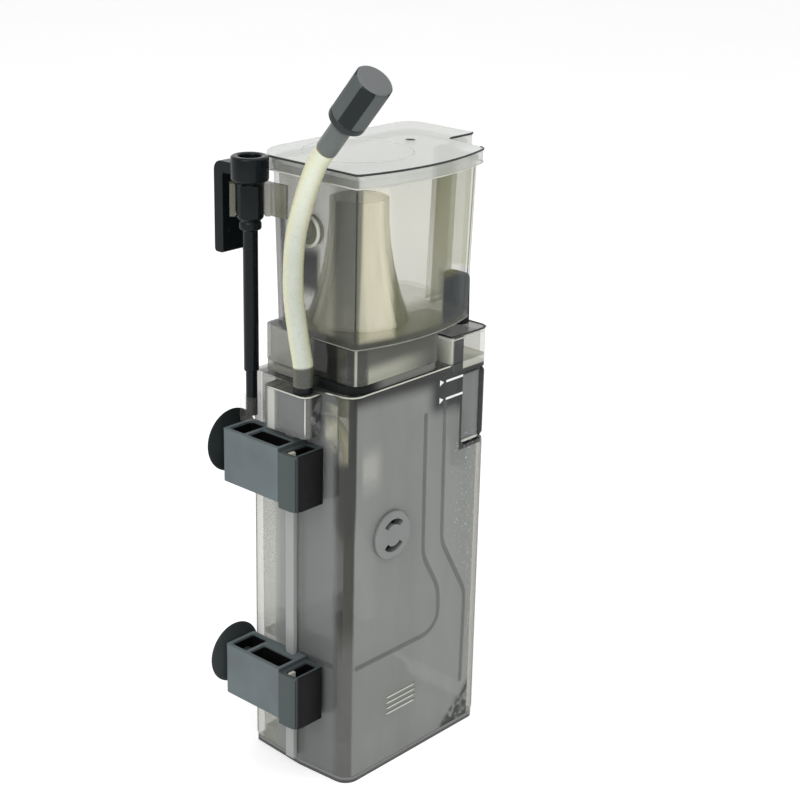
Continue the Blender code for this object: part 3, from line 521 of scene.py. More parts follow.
class Palette:
    """All finishes of the skimmer, built once."""

    def __init__(self) -> None:
        """Builds every material."""
        self.build_housing()
        self.build_cup()
        self.build_opaque()
        self.build_lines()

    def build_housing(self) -> None:
        """Clear finishes of the housing, its deck pieces and the front dial."""
        self.smoke = ClearPlastic("smoke_wall", (0.245, 0.258, 0.244), cover=0.66, edge=0.85,
                                  zones=self.housing_zones()).build()
        self.smoke_inner = ClearPlastic("smoke_inner_wall", (0.20, 0.205, 0.20), cover=0.40,
                                        edge=0.8).build()
        self.lug = ClearPlastic("clear_lug", (0.26, 0.265, 0.24), cover=0.10, edge=0.4).build()
        foot = Zone((0.035, 0.037, 0.036), 0.88, (below(2.0, 1.4),))
        self.base = ClearPlastic("smoke_base", (0.15, 0.154, 0.149), cover=0.74, edge=0.85,
                                 zones=(foot,)).build()
        self.dial = ClearPlastic("smoke_dial", (0.215, 0.22, 0.218), cover=0.86, edge=0.9).build()
        self.rail = ClearPlastic("clear_rail", (0.36, 0.37, 0.36), cover=0.75, edge=0.95).build()
        self.screen = ClearPlastic("grey_screen", (0.155, 0.160, 0.162), cover=0.90, edge=0.92).build()
        self.box = ClearPlastic("clear_air_box", (0.186, 0.192, 0.188), cover=0.58, edge=0.8, zones=(
            # Pale strip on its left side, dark right half of its front, and its top.
            Zone((0.56, 0.57, 0.52), 0.66, (behind(4.5, 5.5), ahead_of(10.0, 9.0))),
            Zone((0.022, 0.023, 0.020), 0.72,
                 (right_of(-55.5, -53.5), ahead_of(-12.8, -13.6)), mottle=160.0),
            Zone((0.075, 0.077, 0.070), 0.72, (above(192.5, 193.2),)))).build()
        self.hood = ClearPlastic("clear_hood", (0.42, 0.425, 0.34), cover=0.27, edge=0.75, zones=(
            # Left end, top and the dark bar in its front.
            Zone((0.62, 0.63, 0.52), 0.58, (left_of(21.4, 20.7),)),
            Zone((0.07, 0.073, 0.064), 0.80, (above(206.6, 207.2),)),
            Zone(BAR_BLACK, 0.97, HOOD_BAR))).build()
        # The seal is tinted near black so that it reads as the shadow line at the neck's foot: painted
        # shadow.
        self.seal = ClearPlastic("smoke_seal", (0.012, 0.014, 0.014), cover=0.95, edge=0.95, zones=(
            # Painted light on its front, and a clearer rear left.
            Zone((0.165, 0.163, 0.152), 0.95, (ahead_of(-27.0, -29.0), right_of(-34.0, -22.0))),
            Zone((0.32, 0.32, 0.28), 0.45, (behind(-10.0, 4.0), left_of(-30.0, -36.0)))),
            rough=0.3, gloss=0.04).build()

    def build_cup(self) -> None:
        """Clear finishes of the cup, lid, riser, neck and clip."""
        self.cup = ClearPlastic("olive_cup", (0.31, 0.305, 0.15), cover=0.16, edge=0.80,
                                zones=self.cup_zones(), rough=0.05, gloss=0.2).build()
        self.lid = ClearPlastic("clear_lid", (0.58, 0.60, 0.56), cover=0.42, edge=0.60, zones=(
            # Top face and left side of the skirt.
            Zone((0.77, 0.79, 0.76), 0.78, (above(293.1, 293.4),)),
            Zone((0.15, 0.155, 0.142), 0.66, (left_of(-44.8, -46.0), below(293.2, 292.8)))),
            edge_tint=(0.4, 0.41, 0.38)).build()
        # The riser's strong upright streaks of flow noise are partly flow marks and partly painted highlight
        # streaks.
        self.riser = ClearPlastic("olive_riser", (0.95, 0.90, 0.72), cover=0.62, edge=0.90,
                                  zones=self.riser_zones(), edge_tint=(0.075, 0.076, 0.062), edge_from=0.5,
                                  flow=0.3, streak=(4.0, 4.0, 0.10)).build()
        self.neck = ClearPlastic("olive_neck", (0.11, 0.112, 0.094), cover=0.66, edge=0.95,
                                 zones=self.neck_zones()).build()
        self.clip = ClearPlastic("olive_clip", (0.18, 0.18, 0.135), cover=0.62, edge=0.85,
                                 edge_tint=(0.30, 0.30, 0.24), edge_from=0.7).build()

    def build_opaque(self) -> None:
        """Opaque mouldings, rubber, hose and the pump's materials."""
        self.grey = SatinPlastic("dark_grey_moulding", (0.108, 0.130, 0.135), 0.42,
                                 zones=self.clamp_zones()).build()
        self.black = SatinPlastic("black_moulding", (0.0035, 0.0058, 0.0068), 0.20, grain=1200.0, depth=0.05,
                                  gloss=0.16).build()
        soft = {"grain": 900.0, "depth": 0.06}
        self.rubber = SatinPlastic("black_rubber", (0.012, 0.016, 0.016), 0.55, **soft).build()
        self.pad = SatinPlastic("grey_rubber", (0.032, 0.039, 0.040), 0.55, **soft).build()
        self.gland = SatinPlastic("gland_rubber", (0.012, 0.015, 0.017), 0.50, **soft).build()
        self.pump = SatinPlastic("pump_casing", (0.030, 0.032, 0.033), 0.45).build()
        self.connector = SatinPlastic("connector_grey", (0.100, 0.116, 0.108), 0.30, gloss=0.3).build()
        self.ceramic = SatinPlastic("ceramic_shaft", (0.80, 0.80, 0.77), 0.25, gloss=0.5).build()
        self.ferrite = SatinPlastic("ferrite_magnet", (0.045, 0.045, 0.05), 0.5).build()
        self.inner_hose = SatinPlastic("olive_inner_hose", (0.80, 0.77, 0.55), 0.35).build()
        self.silicone = Silicone("milky_silicone", (0.450, 0.485, 0.420), barb=(0.018, 0.021, 0.019),
                                 pale=(0.60, 0.64, 0.55), rim=(0.57, 0.57, 0.385)).build()

    def build_lines(self) -> None:
        """Edge lines, seams, printed marks and drops."""
        line = {"grain": 900.0, "depth": 0.02}
        # Pale finish for painted highlight lines on edges and over the grille's slots, and a dimmer one for
        # the cup's foot.
        self.bright = SatinPlastic("highlight_edge", (0.50, 0.51, 0.45), 0.18, gloss=0.5, **line).build()
        self.foot_edge = SatinPlastic("foot_edge", (0.20, 0.205, 0.175), 0.25, gloss=0.3, **line).build()
        self.dark_edge = SatinPlastic("dark_edge", (0.035, 0.038, 0.036), 0.25, **line).build()
        self.seam = ClearPlastic("bonded_seam", (0.105, 0.110, 0.110), cover=0.50, edge=0.50,
                                 edge_from=0.9).build()
        self.ink = Ink("white_ink", (0.86, 0.87, 0.86)).build()
        self.drops = Droplets("wet_drops", dark=(0.16, 0.165, 0.165), bright=(0.56, 0.58, 0.58)).build()

    @staticmethod
    def housing_zones() -> tuple[Zone, ...]:
        """Zones of the housing, from the broad walls to the small dark places."""
        outer = slanted((-1, -1, 0), 60.0, 64.0)
        corner = (slanted((1, -1, 0), -27.5, -21.5), slanted((-1, 1, 0), 11.8, 14.2), outer)
        left = left_of(-44.0, -46.0)
        walls = (
            # Front half of the left side, then its clear rear and the last strip of it.
            Zone((0.150, 0.158, 0.157), 0.74, (left, ahead_of(4.0, -4.0))),
            Zone((0.38, 0.385, 0.33), 0.36, (behind(15.5, 17.0),)),
            Zone((0.46, 0.465, 0.40), 0.52, (left, behind(25.8, 26.4))),
            # Right end and its front strip.
            Zone((0.36, 0.365, 0.31), 0.48, (right_of(38.5, 40.5),)),
            Zone((0.27, 0.275, 0.225), 0.66, (right_of(41.5, 43.0), ahead_of(-15.0, -20.0))),
            # Light patch high on the front, and the deck's top.
            Zone((0.41, 0.412, 0.38), 0.68, (FRONT_FACE, right_of(-40.0, -37.0), left_of(-23.5, -32.0),
                                             above(142.0, 154.0), below(172.0, 160.0)), mottle=45.0),
            Zone((0.045, 0.047, 0.042), 0.82,
                 (above(193.2, 193.8), ahead_of(29.0, 26.0), left_of(20.5, 19.0))),
        )
        round_corner = (
            # Painted shade in the round, where the wall looks into the dark inside, deeper in its upper
            # part.
            Zone((0.125, 0.128, 0.122), 0.66, corner),
            Zone((0.038, 0.040, 0.035), 0.60, corner + (above(60.0, 88.0),)),
            # Window on the hose inside, and the pale streak beside it.
            Zone((0.20, 0.20, 0.145), 0.26,
                 (slanted((1, -1, 0), -24.0, -23.0), slanted((-1, 1, 0), 16.5, 18.0),
                  outer, above(159.0, 164.0))),
            Zone((0.50, 0.49, 0.38), 0.46,
                 (slanted((1, -1, 0), -33.0, -30.0), slanted((-1, 1, 0), 23.5, 25.0),
                  left, slanted((0.5, 0, 1), 140.0, 148.0), below(190.5, 188.5)),
                 mottle=70.0),
            # Painted shade: a dark line at the front of the round, and a dark place under the window.
            Zone((0.028, 0.030, 0.027), 0.82,
                 (slanted((1, -1, 0), -18.0, -16.5), slanted((-1, 1, 0), 11.2, 13.0),
                  outer, above(120.0, 150.0))),
            Zone((0.035, 0.037, 0.033), 0.84, corner + (below(164.0, 159.0), above(115.0, 140.0))),
        )
        details = (
            # Painted shade under the deck, and deeper painted shade over the field by the level marks.
            Zone((0.012, 0.013, 0.012), 0.92, (FRONT_FACE, slanted((0.05, 0, 1), 183.0, 191.0))),
            Zone((0.009, 0.010, 0.010), 0.93,
                 (FRONT_FACE, right_of(2.0, 11.5), slanted((0.12, 0, 1), 170.0, 179.0),
                  left_of(30.0, 28.5))),
            # Frame of the intake window, the ledge over it and the bar from the hood.
            Zone((0.012, 0.013, 0.013), 0.92,
                 (right_of(26.8, 27.6), above(149.5, 150.5), ahead_of(-20.0, -21.5))),
            Zone((0.60, 0.61, 0.53), 0.62, (right_of(21.2, 22.0), above(190.2, 191.0))),
            Zone(BAR_BLACK, 0.97, HOOD_BAR + (above(189.5, 190.5),)),
            # Dark mottled patch in the lower right corner.
            Zone((0.020, 0.021, 0.020), 0.80,
                 (FRONT_FACE, slanted((0.9, 0, -1), 10.5, 16.5), below(32.0, 22.0),
                  left_of(41.2, 39.6)), mottle=320.0),
        )
        return walls + round_corner + details

    @staticmethod
    def cup_zones() -> tuple[Zone, ...]:
        """Zones of the cup: what its front, left wall, rear lobe and foot show of the things behind them."""
        left, foot = left_of(-41.2, -42.4), below(220.5, 217.0)
        slope = 0.084
        return (
            # Cream front left of the riser's flank, and the darker low front right of it.
            Zone((0.80, 0.76, 0.56), 0.30,
                 (FRONT_FACE, slanted((-1, 0, -slope), 3.0, 6.6), below(287.5, 284.5),
                  right_of(-42.0, -40.5))),
            Zone((0.27, 0.27, 0.18), 0.25,
                 (FRONT_FACE, below(272.0, 220.0), slanted((1, 0, slope), -4.8, -1.0),
                  left_of(17.0, 11.0))),
            # Left wall, its lighter front half, its rear round and its front edge.
            Zone((0.165, 0.168, 0.135), 0.46, (left, ahead_of(19.0, 16.0))),
            Zone((0.27, 0.273, 0.225), 0.44, (left, ahead_of(-4.0, -9.0))),
            Zone((0.10, 0.105, 0.10), 0.58, (slanted((-1, 1, 0), 56.0, 58.5), below(272.0, 268.0))),
            Zone((0.080, 0.083, 0.072), 0.50, (left, ahead_of(-13.5, -18.5))),
            # A dark patch high on the left wall.
            Zone((0.020, 0.022, 0.021), 0.86, (left, behind(-8.0, -5.5), ahead_of(5.0, 3.0),
                                               slanted((0.5, 0, -1), -280.0, -274.0), above(232.0, 240.0))),
            # Right end, the gland behind it and the wall of the rear lobe.
            Zone((0.40, 0.41, 0.22), 0.30,
                 (right_of(24.0, 26.2), ahead_of(-8.5, -10.5), above(236.5, 239.5))),
            Zone((0.020, 0.024, 0.025), 0.40,
                 (right_of(30.5, 31.2), ahead_of(-10.5, -11.5), below(234.0, 233.0))),
            Zone((0.135, 0.138, 0.108), 0.52,
                 (right_of(33.0, 34.5), behind(-8.5, -7.5), ahead_of(-2.5, -3.5))),
            Zone((0.11, 0.125, 0.13), 0.20,
                 (ahead_of(-21.5, -22.5), right_of(6.5, 8.0), below(240.0, 238.0))),
            # Foot of the cup.
            Zone((0.085, 0.088, 0.070), 0.58, (foot, ahead_of(4.0, -8.0))),
            Zone((0.055, 0.057, 0.048), 0.66, (foot, left)),
        )

    @staticmethod
    def neck_zones() -> tuple[Zone, ...]:
        """Zones of the neck: painted light on its front, a dark top, a pale rear left, dark bands and a
        painted highlight line at its front-left round.
        """
        round_at = (-37.0 * MM, -24.0 * MM)
        band = (left_of(-34.5, -36.5), ahead_of(-3.0, -5.0))
        return (
            # Painted light on the front.
            Zone((0.43, 0.435, 0.36), 0.62, (left_of(8.0, -20.0), ahead_of(-20.0, -24.0))),
            Zone((0.115, 0.117, 0.098), 0.62, (above(202.5, 208.5),)),
            Zone((0.37, 0.375, 0.34), 0.55, (left_of(-40.8, -41.4), behind(-6.0, 10.0))),
            Zone((0.056, 0.058, 0.047), 0.74, band),
            Zone((0.016, 0.017, 0.015), 0.93, band + (behind(-19.2, -17.6),)),
            Zone((0.020, 0.021, 0.019), 0.88, (Fan(round_at, -163.0, 12.0, 5.0),)),
            # Painted highlight line down the front-left round.
            Zone((0.55, 0.55, 0.47), 0.52,
                 (Fan(round_at, -137.0, 3.0, 4.0), slanted((-1, -1, 0), 68.0, 69.0))),
        )

    @staticmethod
    def riser_zones() -> tuple[Zone, ...]:
        """Zones of the riser: painted shade on its flanks and painted highlight streaks that follow its
        flare.
        """
        axis = (-10.5 * MM, 0.25 * MM)
        return (
            Zone((0.62, 0.61, 0.50), 0.42, (Fan(axis, 178.0, 42.0, 8.0),)),
            # Painted shade on the flanks.
            Zone((0.115, 0.116, 0.090), 0.62, (Fan(axis, -62.0, 14.0, 9.0),)),
            Zone((0.20, 0.20, 0.16), 0.55, (Fan(axis, 152.0, 26.0, 8.0),)),
            Zone((0.06, 0.06, 0.05), 0.60, (Fan(axis, -62.0, 24.0, 8.0), below(236.0, 222.0))),
            # Painted highlight streaks.
            Zone((0.92, 0.89, 0.74), 0.72, (Fan(axis, -93.0, 2.5, 3.5),)),
            Zone((0.90, 0.87, 0.72), 0.72, (Fan(axis, 167.0, 3.0, 3.5),)),
            Zone((0.85, 0.83, 0.70), 0.60, (Fan(axis, 140.0, 2.0, 3.0),)),
        )

    @staticmethod
    def clamp_zones() -> tuple[Zone, ...]:
        """Zones of both brackets: a darker front block, painted shade on the block's front face, and painted
        shade in the cavities of the rims.
        """
        # Black of the painted shade in the cavities.
        black = (0.004, 0.004, 0.004)
        inside = right_of(-66.7, -66.2)
        wide = (inside, behind(-5.8, -5.2), ahead_of(28.4, 27.9))
        block = (inside, behind(-16.7, -16.2), ahead_of(-7.2, -7.7))
        # Darker front block, then painted shade on its front face, which turns away from the key lamp.
        zones = [Zone((0.060, 0.073, 0.073), 1.0, (ahead_of(-5.8, -6.4),)),
                 Zone((0.0025, 0.0025, 0.0025), 1.0, (ahead_of(-16.3, -17.2),))]
        # Painted shade in each bracket's cavities.
        for top in (170.5, 61.2):
            deep = above(top - 40.0, top - 35.0)
            zones.append(Zone(black, 1.0, wide + (below(top - 0.9, top - 1.2), deep)))
            zones.append(Zone(black, 1.0, block + (below(top - 2.4, top - 2.7), deep)))
        return tuple(zones)


def make_piece(name: str, points: np.ndarray, faces: np.ndarray | list, material: bpy.types.Material,
               smooth: bool = True) -> bpy.types.Object:
    """Puts points and faces into a mesh object at the origin.

    Args:
        name: name of the piece.
        points: array of shape (n, 3) in metres.
        faces: quads as an array (m, 4), or a list of loops.
        material: its finish.
        smooth: True for smooth shading.

    Returns:
        The linked object.
    """
    mesh = bpy.data.meshes.new(name)
    loops = faces.tolist() if isinstance(faces, np.ndarray) else faces
    mesh.from_pydata(points.reshape(-1, 3).tolist(), [], loops)
    mesh.polygons.foreach_set("use_smooth", np.full(len(mesh.polygons), smooth))
    mesh.materials.append(material)
    mesh.validate()
    obj = bpy.data.objects.new(name, mesh)
    bpy.context.scene.collection.objects.link(obj)
    return obj


def grid_faces(rows: int, columns: int, wrap: bool = True, start: int = 0) -> np.ndarray:
    """Quads between the rows of a grid of points.

    Args:
        rows: number of rows.
        columns: points in a row.
        wrap: True joins the last column to the first.
        start: index of the first point.

    Returns:
        Array of quads, shape (m, 4): each quad joins (r, c), (r, c+1), (r+1, c+1) and (r+1, c).
    """
    r, c = np.meshgrid(np.arange(rows - 1), np.arange(columns if wrap else columns - 1), indexing="ij")
    n = (c + 1) % columns
    here, above_it = r * columns, (r + 1) * columns
    quads = np.stack([here + c, here + n, above_it + n, above_it + c], axis=-1)
    return quads.reshape(-1, 4) + start


def smooth_line(points: np.ndarray, count: int) -> np.ndarray:
    """Line through the points by cubic blends between neighbours, read at even steps.

    Args:
        points: array (k, 3) that the line passes through.
        count: number of steps.

    Returns:
        Array (count + 1, 3).
    """
    ghost = np.vstack([2 * points[0] - points[1], points, 2 * points[-1] - points[-2]])
    s = np.linspace(0, len(points) - 1, count + 1)
    i = np.minimum(s.astype(int), len(points) - 2)
    t = (s - i)[:, None]
    a, b, c, d = ghost[i], ghost[i + 1], ghost[i + 2], ghost[i + 3]
    square, cube = 2 * a - 5 * b + 4 * c - d, 3 * b - a - 3 * c + d
    return 0.5 * (2 * b + (c - a) * t + square * t ** 2 + cube * t ** 3)


def tube(path: np.ndarray, radius: np.ndarray, sides: int, across: np.ndarray) -> tuple[np.ndarray, list]:
    """Round tube along a path that lies in one plane.

    Each ring is centre + radius * (cos t * across + sin t * (tangent x across)).

    Args:
        path: array (n, 3).
        radius: array (n,), the radius at each point.
        sides: points round the tube.
        across: unit vector square to the path's plane.

    Returns:
        Points (n * sides, 3) and faces with both ends closed.
    """
    tangent = np.gradient(path, axis=0)
    tangent /= np.linalg.norm(tangent, axis=1, keepdims=True)
    side = np.cross(tangent, across)
    t = np.linspace(0, 2 * np.pi, sides, endpoint=False)
    ring = np.cos(t)[None, :, None] * across[None, None, :] + np.sin(t)[None, :, None] * side[:, None, :]
    points = path[:, None, :] + radius[:, None, None] * ring
    quads = grid_faces(len(path), sides).tolist()
    last = (len(path) - 1) * sides
    return points.reshape(-1, 3), quads + [list(range(sides))[::-1], list(range(last, last + sides))]


@dataclass(frozen=True)
class Lamp:
    """Soft square lamp: where it stands, what it points at, its side and its power in watts."""

    name: str
    place: Way
    aim: Way
    size: float
    power: float

    def build(self) -> None:
        """Adds the lamp to the scene."""
        data = bpy.data.lights.new(self.name, "AREA")
        data.size, data.energy = self.size, self.power
        obj = bpy.data.objects.new(self.name, data)
        look = (Vector(self.aim) - Vector(self.place)).to_track_quat("-Z", "Y")
        obj.matrix_world = Matrix.Translation(self.place) @ look.to_matrix().to_4x4()
        bpy.context.scene.collection.objects.link(obj)


@dataclass
class Stage:
    """Floor, light and the camera at the photograph's viewing angle."""

    eye: Way = (-0.5581, -0.5161, 0.4531)
    pitch: float = np.radians(20.124)
    turn: float = np.radians(-48.204)
    roll: float = np.radians(-1.299)
    focal_px: float = 1732.5
    frame_px: float = 800.0
    sensor_mm: float = 36.0
    room_light: float = 0.62
    floor_half: float = 4.0
    lamps: tuple[Lamp, ...] = (Lamp("left_key", (-1.1, -0.35, 0.95), (0, 0, 0.17), 0.9, 9.0),
                               Lamp("top_fill", (0.2, -0.4, 1.5), (0, 0, 0.2), 1.2, 7.0))

    def camera(self) -> None:
        """Places the camera: it looks along azimuth and pitch, then rolls about its own axis."""
        back = Vector((np.sin(self.turn) * np.cos(self.pitch), -np.cos(self.turn) * np.cos(self.pitch),
                       np.sin(self.pitch)))
        right = (-back).cross(Vector((0, 0, 1))).normalized()
        down = (-back).cross(right)
        c, s = np.cos(self.roll), np.sin(self.roll)
        x, y = right * c + down * s, -(down * c - right * s)
        data = bpy.data.cameras.new("photo_camera")
        data.sensor_fit = "HORIZONTAL"
        data.sensor_width = self.sensor_mm
        data.lens = self.focal_px / self.frame_px * self.sensor_mm
        data.clip_start, data.clip_end = 0.01, 20.0
        obj = bpy.data.objects.new("photo_camera", data)
        obj.matrix_world = Matrix.Translation(self.eye) @ Matrix((x, y, back)).transposed().to_4x4()
        bpy.context.scene.collection.objects.link(obj)
        bpy.context.scene.camera = obj

    def world(self) -> None:
        """White backdrop for the eye, for gloss and for clear walls; a softer level lights the object."""
        world = bpy.data.worlds.new("studio")
        world.use_nodes = True
        tree = world.node_tree
        tree.nodes.clear()
        out = tree.nodes.new("ShaderNodeOutputWorld")
        seen, lit = tree.nodes.new("ShaderNodeBackground"), tree.nodes.new("ShaderNodeBackground")
        for node, level in ((seen, 1.0), (lit, self.room_light)):
            node.inputs["Color"].default_value = (1, 1, 1, 1)
            node.inputs["Strength"].default_value = level
        path = tree.nodes.new("ShaderNodeLightPath")
        total = path.outputs["Is Camera Ray"]
        for name in ("Is Glossy Ray", "Is Transmission Ray"):
            node = tree.nodes.new("ShaderNodeMath")
            node.operation = "MAXIMUM"
            tree.links.new(total, node.inputs[0])
            tree.links.new(path.outputs[name], node.inputs[1])
            total = node.outputs[0]
        mix = tree.nodes.new("ShaderNodeMixShader")
        tree.links.new(total, mix.inputs[0])
        tree.links.new(lit.outputs[0], mix.inputs[1])
        tree.links.new(seen.outputs[0], mix.inputs[2])
        tree.links.new(mix.outputs[0], out.inputs[0])
        bpy.context.scene.world = world

    def floor(self) -> None:
        """Plain white floor that keeps the soft shadow."""
        half = self.floor_half
        points = np.array([[-half, -half, 0], [half, -half, 0], [half, half, 0], [-half, half, 0]])
        g = Graph("white_floor")
        cloud = g.span(g.noise(3.0), 0.0, 1.0)
        g.link(g.blend(cloud, (0.80, 0.80, 0.80), (0.82, 0.82, 0.82)), "Base Color")
        g.set(Roughness=0.9, Emission_Color=(1, 1, 1, 1), Emission_Strength=0.42)
        floor = make_piece("studio_floor", points, [[0, 1, 2, 3]], g.material, smooth=False)

    def build(self) -> None:
        """Builds the whole stage."""
        self.camera()
        self.world()
        for lamp in self.lamps:
            lamp.build()
        self.floor()
        bpy.context.scene.view_settings.view_transform = "Standard"


def revolved(profile: np.ndarray, base: Way, axis: Way, seg: int = 64) -> tuple[np.ndarray, list]:
    """Turned surface: a profile of (radius, height) goes round an axis.

    Each point is base + height * axis + radius * (cos t * u + sin t * v), with u and v square to the axis.

    Args:
        profile: array (n, 2) from one end of the turned surface to the other.
        base: point on the axis where the height is zero.
        axis: direction of the axis.
        seg: points round the axis.

    Returns:
        Points and faces; an end with a radius above zero is closed by a flat face.
    """
    w = np.array(axis, float) / np.linalg.norm(axis)
    u = np.cross(w, (0.0, 0.0, 1.0)) if abs(w[2]) < 0.99 else np.array([1.0, 0.0, 0.0])
    u /= np.linalg.norm(u)
    t = np.linspace(0, 2 * np.pi, seg, endpoint=False)
    ring = np.cos(t)[:, None] * u + np.sin(t)[:, None] * np.cross(w, u)
    r, h = profile[:, 0], profile[:, 1]
    points = np.array(base)[None, None] + h[:, None, None] * w + r[:, None, None] * ring[None]
    last = (len(profile) - 1) * seg
    faces = grid_faces(len(profile), seg).tolist()
    return points.reshape(-1, 3), faces + [list(range(seg))[::-1], list(range(last, last + seg))]


def soft_profile(corners: tuple, radius: float, steps: int = 4) -> np.ndarray:
    """Profile whose inner corners are rounded by short quadratic bends.

    Args:
        corners: points (radius, height) of the sharp profile.
        radius: reach of the rounding along each leg, held to 0.45 of the leg.
        steps: points in a bend.

    Returns:
        Array (n, 2).
    """
    pts = np.array(corners, float)
    a, b, c = pts[:-2], pts[1:-1], pts[2:]
    before, after = a - b, c - b
    la, lc = np.linalg.norm(before, axis=1), np.linalg.norm(after, axis=1)
    ra, rc = np.minimum(radius, 0.45 * la) / la, np.minimum(radius, 0.45 * lc) / lc
    p, q = b + before * ra[:, None], b + after * rc[:, None]
    t = np.linspace(0, 1, steps)[None, :, None]
    bends = (1 - t) ** 2 * p[:, None] + 2 * t * (1 - t) * b[:, None] + t ** 2 * q[:, None]
    return np.vstack([pts[:1], bends.reshape(-1, 2), pts[-1:]])


def slab(width: float, height: float, depth: float, corner: float, edge: float) -> tuple[np.ndarray, list]:
    """Flat plate with round corners and a rounded rim, in X and Z, its face towards -Y.

    Args:
        width: size along X.
        height: size along Z.
        depth: thickness along Y, back face at zero.
        corner: corner radius of the plate.
        edge: radius of the rim.

    Returns:
        Points round the origin and faces.
    """
    sides, rim_steps = 48, 5
    t = np.linspace(0, 2 * np.pi, sides, endpoint=False) + np.pi / (2 * sides)
    unit = np.stack([np.cos(t), np.sin(t)], axis=-1)
    core = np.sign(unit) * (np.array([width, height]) / 2 - corner)
    k = np.linspace(0, np.pi / 2, rim_steps)
    inset = np.concatenate([[0.0], edge * (1 - np.cos(k))])
    level = np.concatenate([[0.0], -(depth - edge) - edge * np.sin(k)])
    flat = core[None] + unit[None] * (corner - inset)[:, None, None]
    points = np.stack([flat[..., 0], np.broadcast_to(level[:, None], flat.shape[:2]), flat[..., 1]], axis=-1)
    last = (len(level) - 1) * sides
    faces = grid_faces(len(level), sides).tolist()
    return points.reshape(-1, 3), faces + [list(range(sides))[::-1], list(range(last, last + sides))]


def ribbon(path: np.ndarray, normal: np.ndarray, width: float, rise: float) -> tuple[np.ndarray, np.ndarray]:
    """Low ridge along a path on a wall: three lines, the middle one raised.

    Args:
        path: array (n, 3) on the wall.
        normal: array (n, 3) of unit normals of the wall.
        width: width of the ridge.
        rise: height of its middle.

    Returns:
        Points and quads.
    """
    tangent = np.gradient(path, axis=0)
    side = np.cross(tangent / np.linalg.norm(tangent, axis=1, keepdims=True), normal)
    rows = np.stack([path - side * width / 2, path + normal * rise, path + side * width / 2], axis=1)
    return rows.reshape(-1, 3), grid_faces(len(path), 3, wrap=False)


def rounded(corners: tuple, seg: int = 7) -> np.ndarray:
    """Closed outline from corners (x, y, radius).

    Args:
        corners: corners in order; a radius of zero keeps a corner sharp.
        seg: steps in a round.

    Returns:
        Array (n, 2): each round is an arc that touches both legs of its corner.
    """
    out = []
    xy = np.array([c[:2] for c in corners], float)
    for (x, y, r), last, after in zip(corners, np.roll(xy, 1, axis=0), np.roll(xy, -1, axis=0)):
        here = np.array([x, y])
        a, b = (last - here) / np.linalg.norm(last - here), (after - here) / np.linalg.norm(after - here)
        half = np.arccos(np.clip(a @ b, -1, 1)) / 2
        if r <= 0 or abs(half - np.pi / 2) < 1e-3:
            out.append(here[None])
            continue
        mid = (a + b) / np.linalg.norm(a + b)
        centre = here + mid * r / np.sin(half)
        start, stop = (here + a * r / np.tan(half) - centre), (here + b * r / np.tan(half) - centre)
        t0 = np.arctan2(start[1], start[0])
        turn = (np.arctan2(stop[1], stop[0]) - t0 + np.pi) % (2 * np.pi) - np.pi
        t = t0 + turn * np.linspace(0, 1, seg + 1)
        out.append(centre + r * np.stack([np.cos(t), np.sin(t)], axis=-1))
    return np.vstack(out)


def dense(path: np.ndarray, step: float) -> np.ndarray:
    """Path with points added on its long legs.

    Args:
        path: array (n, 2) or (n, 3).
        step: longest leg that is left.

    Returns:
        The path with all its own points and the added ones, in order.
    """
    run = np.concatenate([[0.0], np.cumsum(np.linalg.norm(np.diff(path, axis=0), axis=1))])
    even = np.linspace(0, run[-1], int(run[-1] / step) + 2)
    where = np.unique(np.concatenate([run, even]).round(9))
    return np.stack([np.interp(where, run, path[:, k]) for k in range(path.shape[1])], axis=-1)


@dataclass
class SubAssembly:
    """Base of every dressed group: gives named solids a finish and settles new pieces."""

    nodes: dict
    palette: Palette

    def dress(self, finish: bpy.types.Material, *names: str) -> None:
        """Gives each named solid the finish.

        Args:
            finish: material to give.
            names: names of the solids.
        """
        for name in names:
            mesh = self.nodes[name].data
            mesh.materials.clear()
            mesh.materials.append(finish)
            LOG.info("dressed %s with %s", name, finish.name)

    def settle(self, piece: bpy.types.Object, body: str, slot: Slot) -> bpy.types.Object:
        """Lets a new piece ride on a body.

        Args:
            piece: the new piece.
            body: body that it rides on.
            slot: record slot; not used.

        Returns:
            The same piece.
        """
        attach(piece, body)
        LOG.info("added %s on %s", piece.name, body)
        return piece

    def bead(self, name: str, path: np.ndarray, radius: float, finish: bpy.types.Material, body: str,
             slot: Slot, across: Way = (0.0, 0.0, 1.0)) -> bpy.types.Object:
        """Thin round bead along an edge.

        Args:
            name: name of the piece.
            path: array (n, 3) in one plane.
            radius: radius of the bead; its ends taper off.
            finish: its material.
            body: body that it rides on.
            slot: record slot.
            across: unit vector square to the path's plane.

        Returns:
            The piece.
        """
        longest_leg, sides, tip = 2.0 * MM, 8, 0.4
        path = dense(path, longest_leg)
        taper = np.full(len(path), radius)
        taper[[0, -1]] *= tip
        points, faces = tube(path, taper, sides, np.array(across))
        return self.settle(make_piece(name, points, faces, finish), body, slot)


# Outer walls of the housing.
LEFT, RIGHT, FRONT, BACK = -46.5 * MM, 46.5 * MM, -30.5 * MM, 30.5 * MM
CORNER = 7.0 * MM
CUP_BOW_STEPS = 16
ROUND_STEPS = 7
# Directions square to the plane of a bead.
ALONG_X, ALONG_Y = (1.0, 0.0, 0.0), (0.0, 1.0, 0.0)
# Angle past which an edge of a turned or flat piece stays sharp.
SHARP = 0.9
# Radius that closes a turned profile at its axis, in mm.
TIP = 1e-3


def at_height(outline: np.ndarray, z: float) -> np.ndarray:
    """Outline in X and Y carried to a height."""
    return np.column_stack([outline, np.full(len(outline), z)])


def upright(x: float, y: float, low: float, high: float) -> np.ndarray:
    """Upright line at a place, between two heights."""
    return np.array([[x, y, low], [x, y, high]])


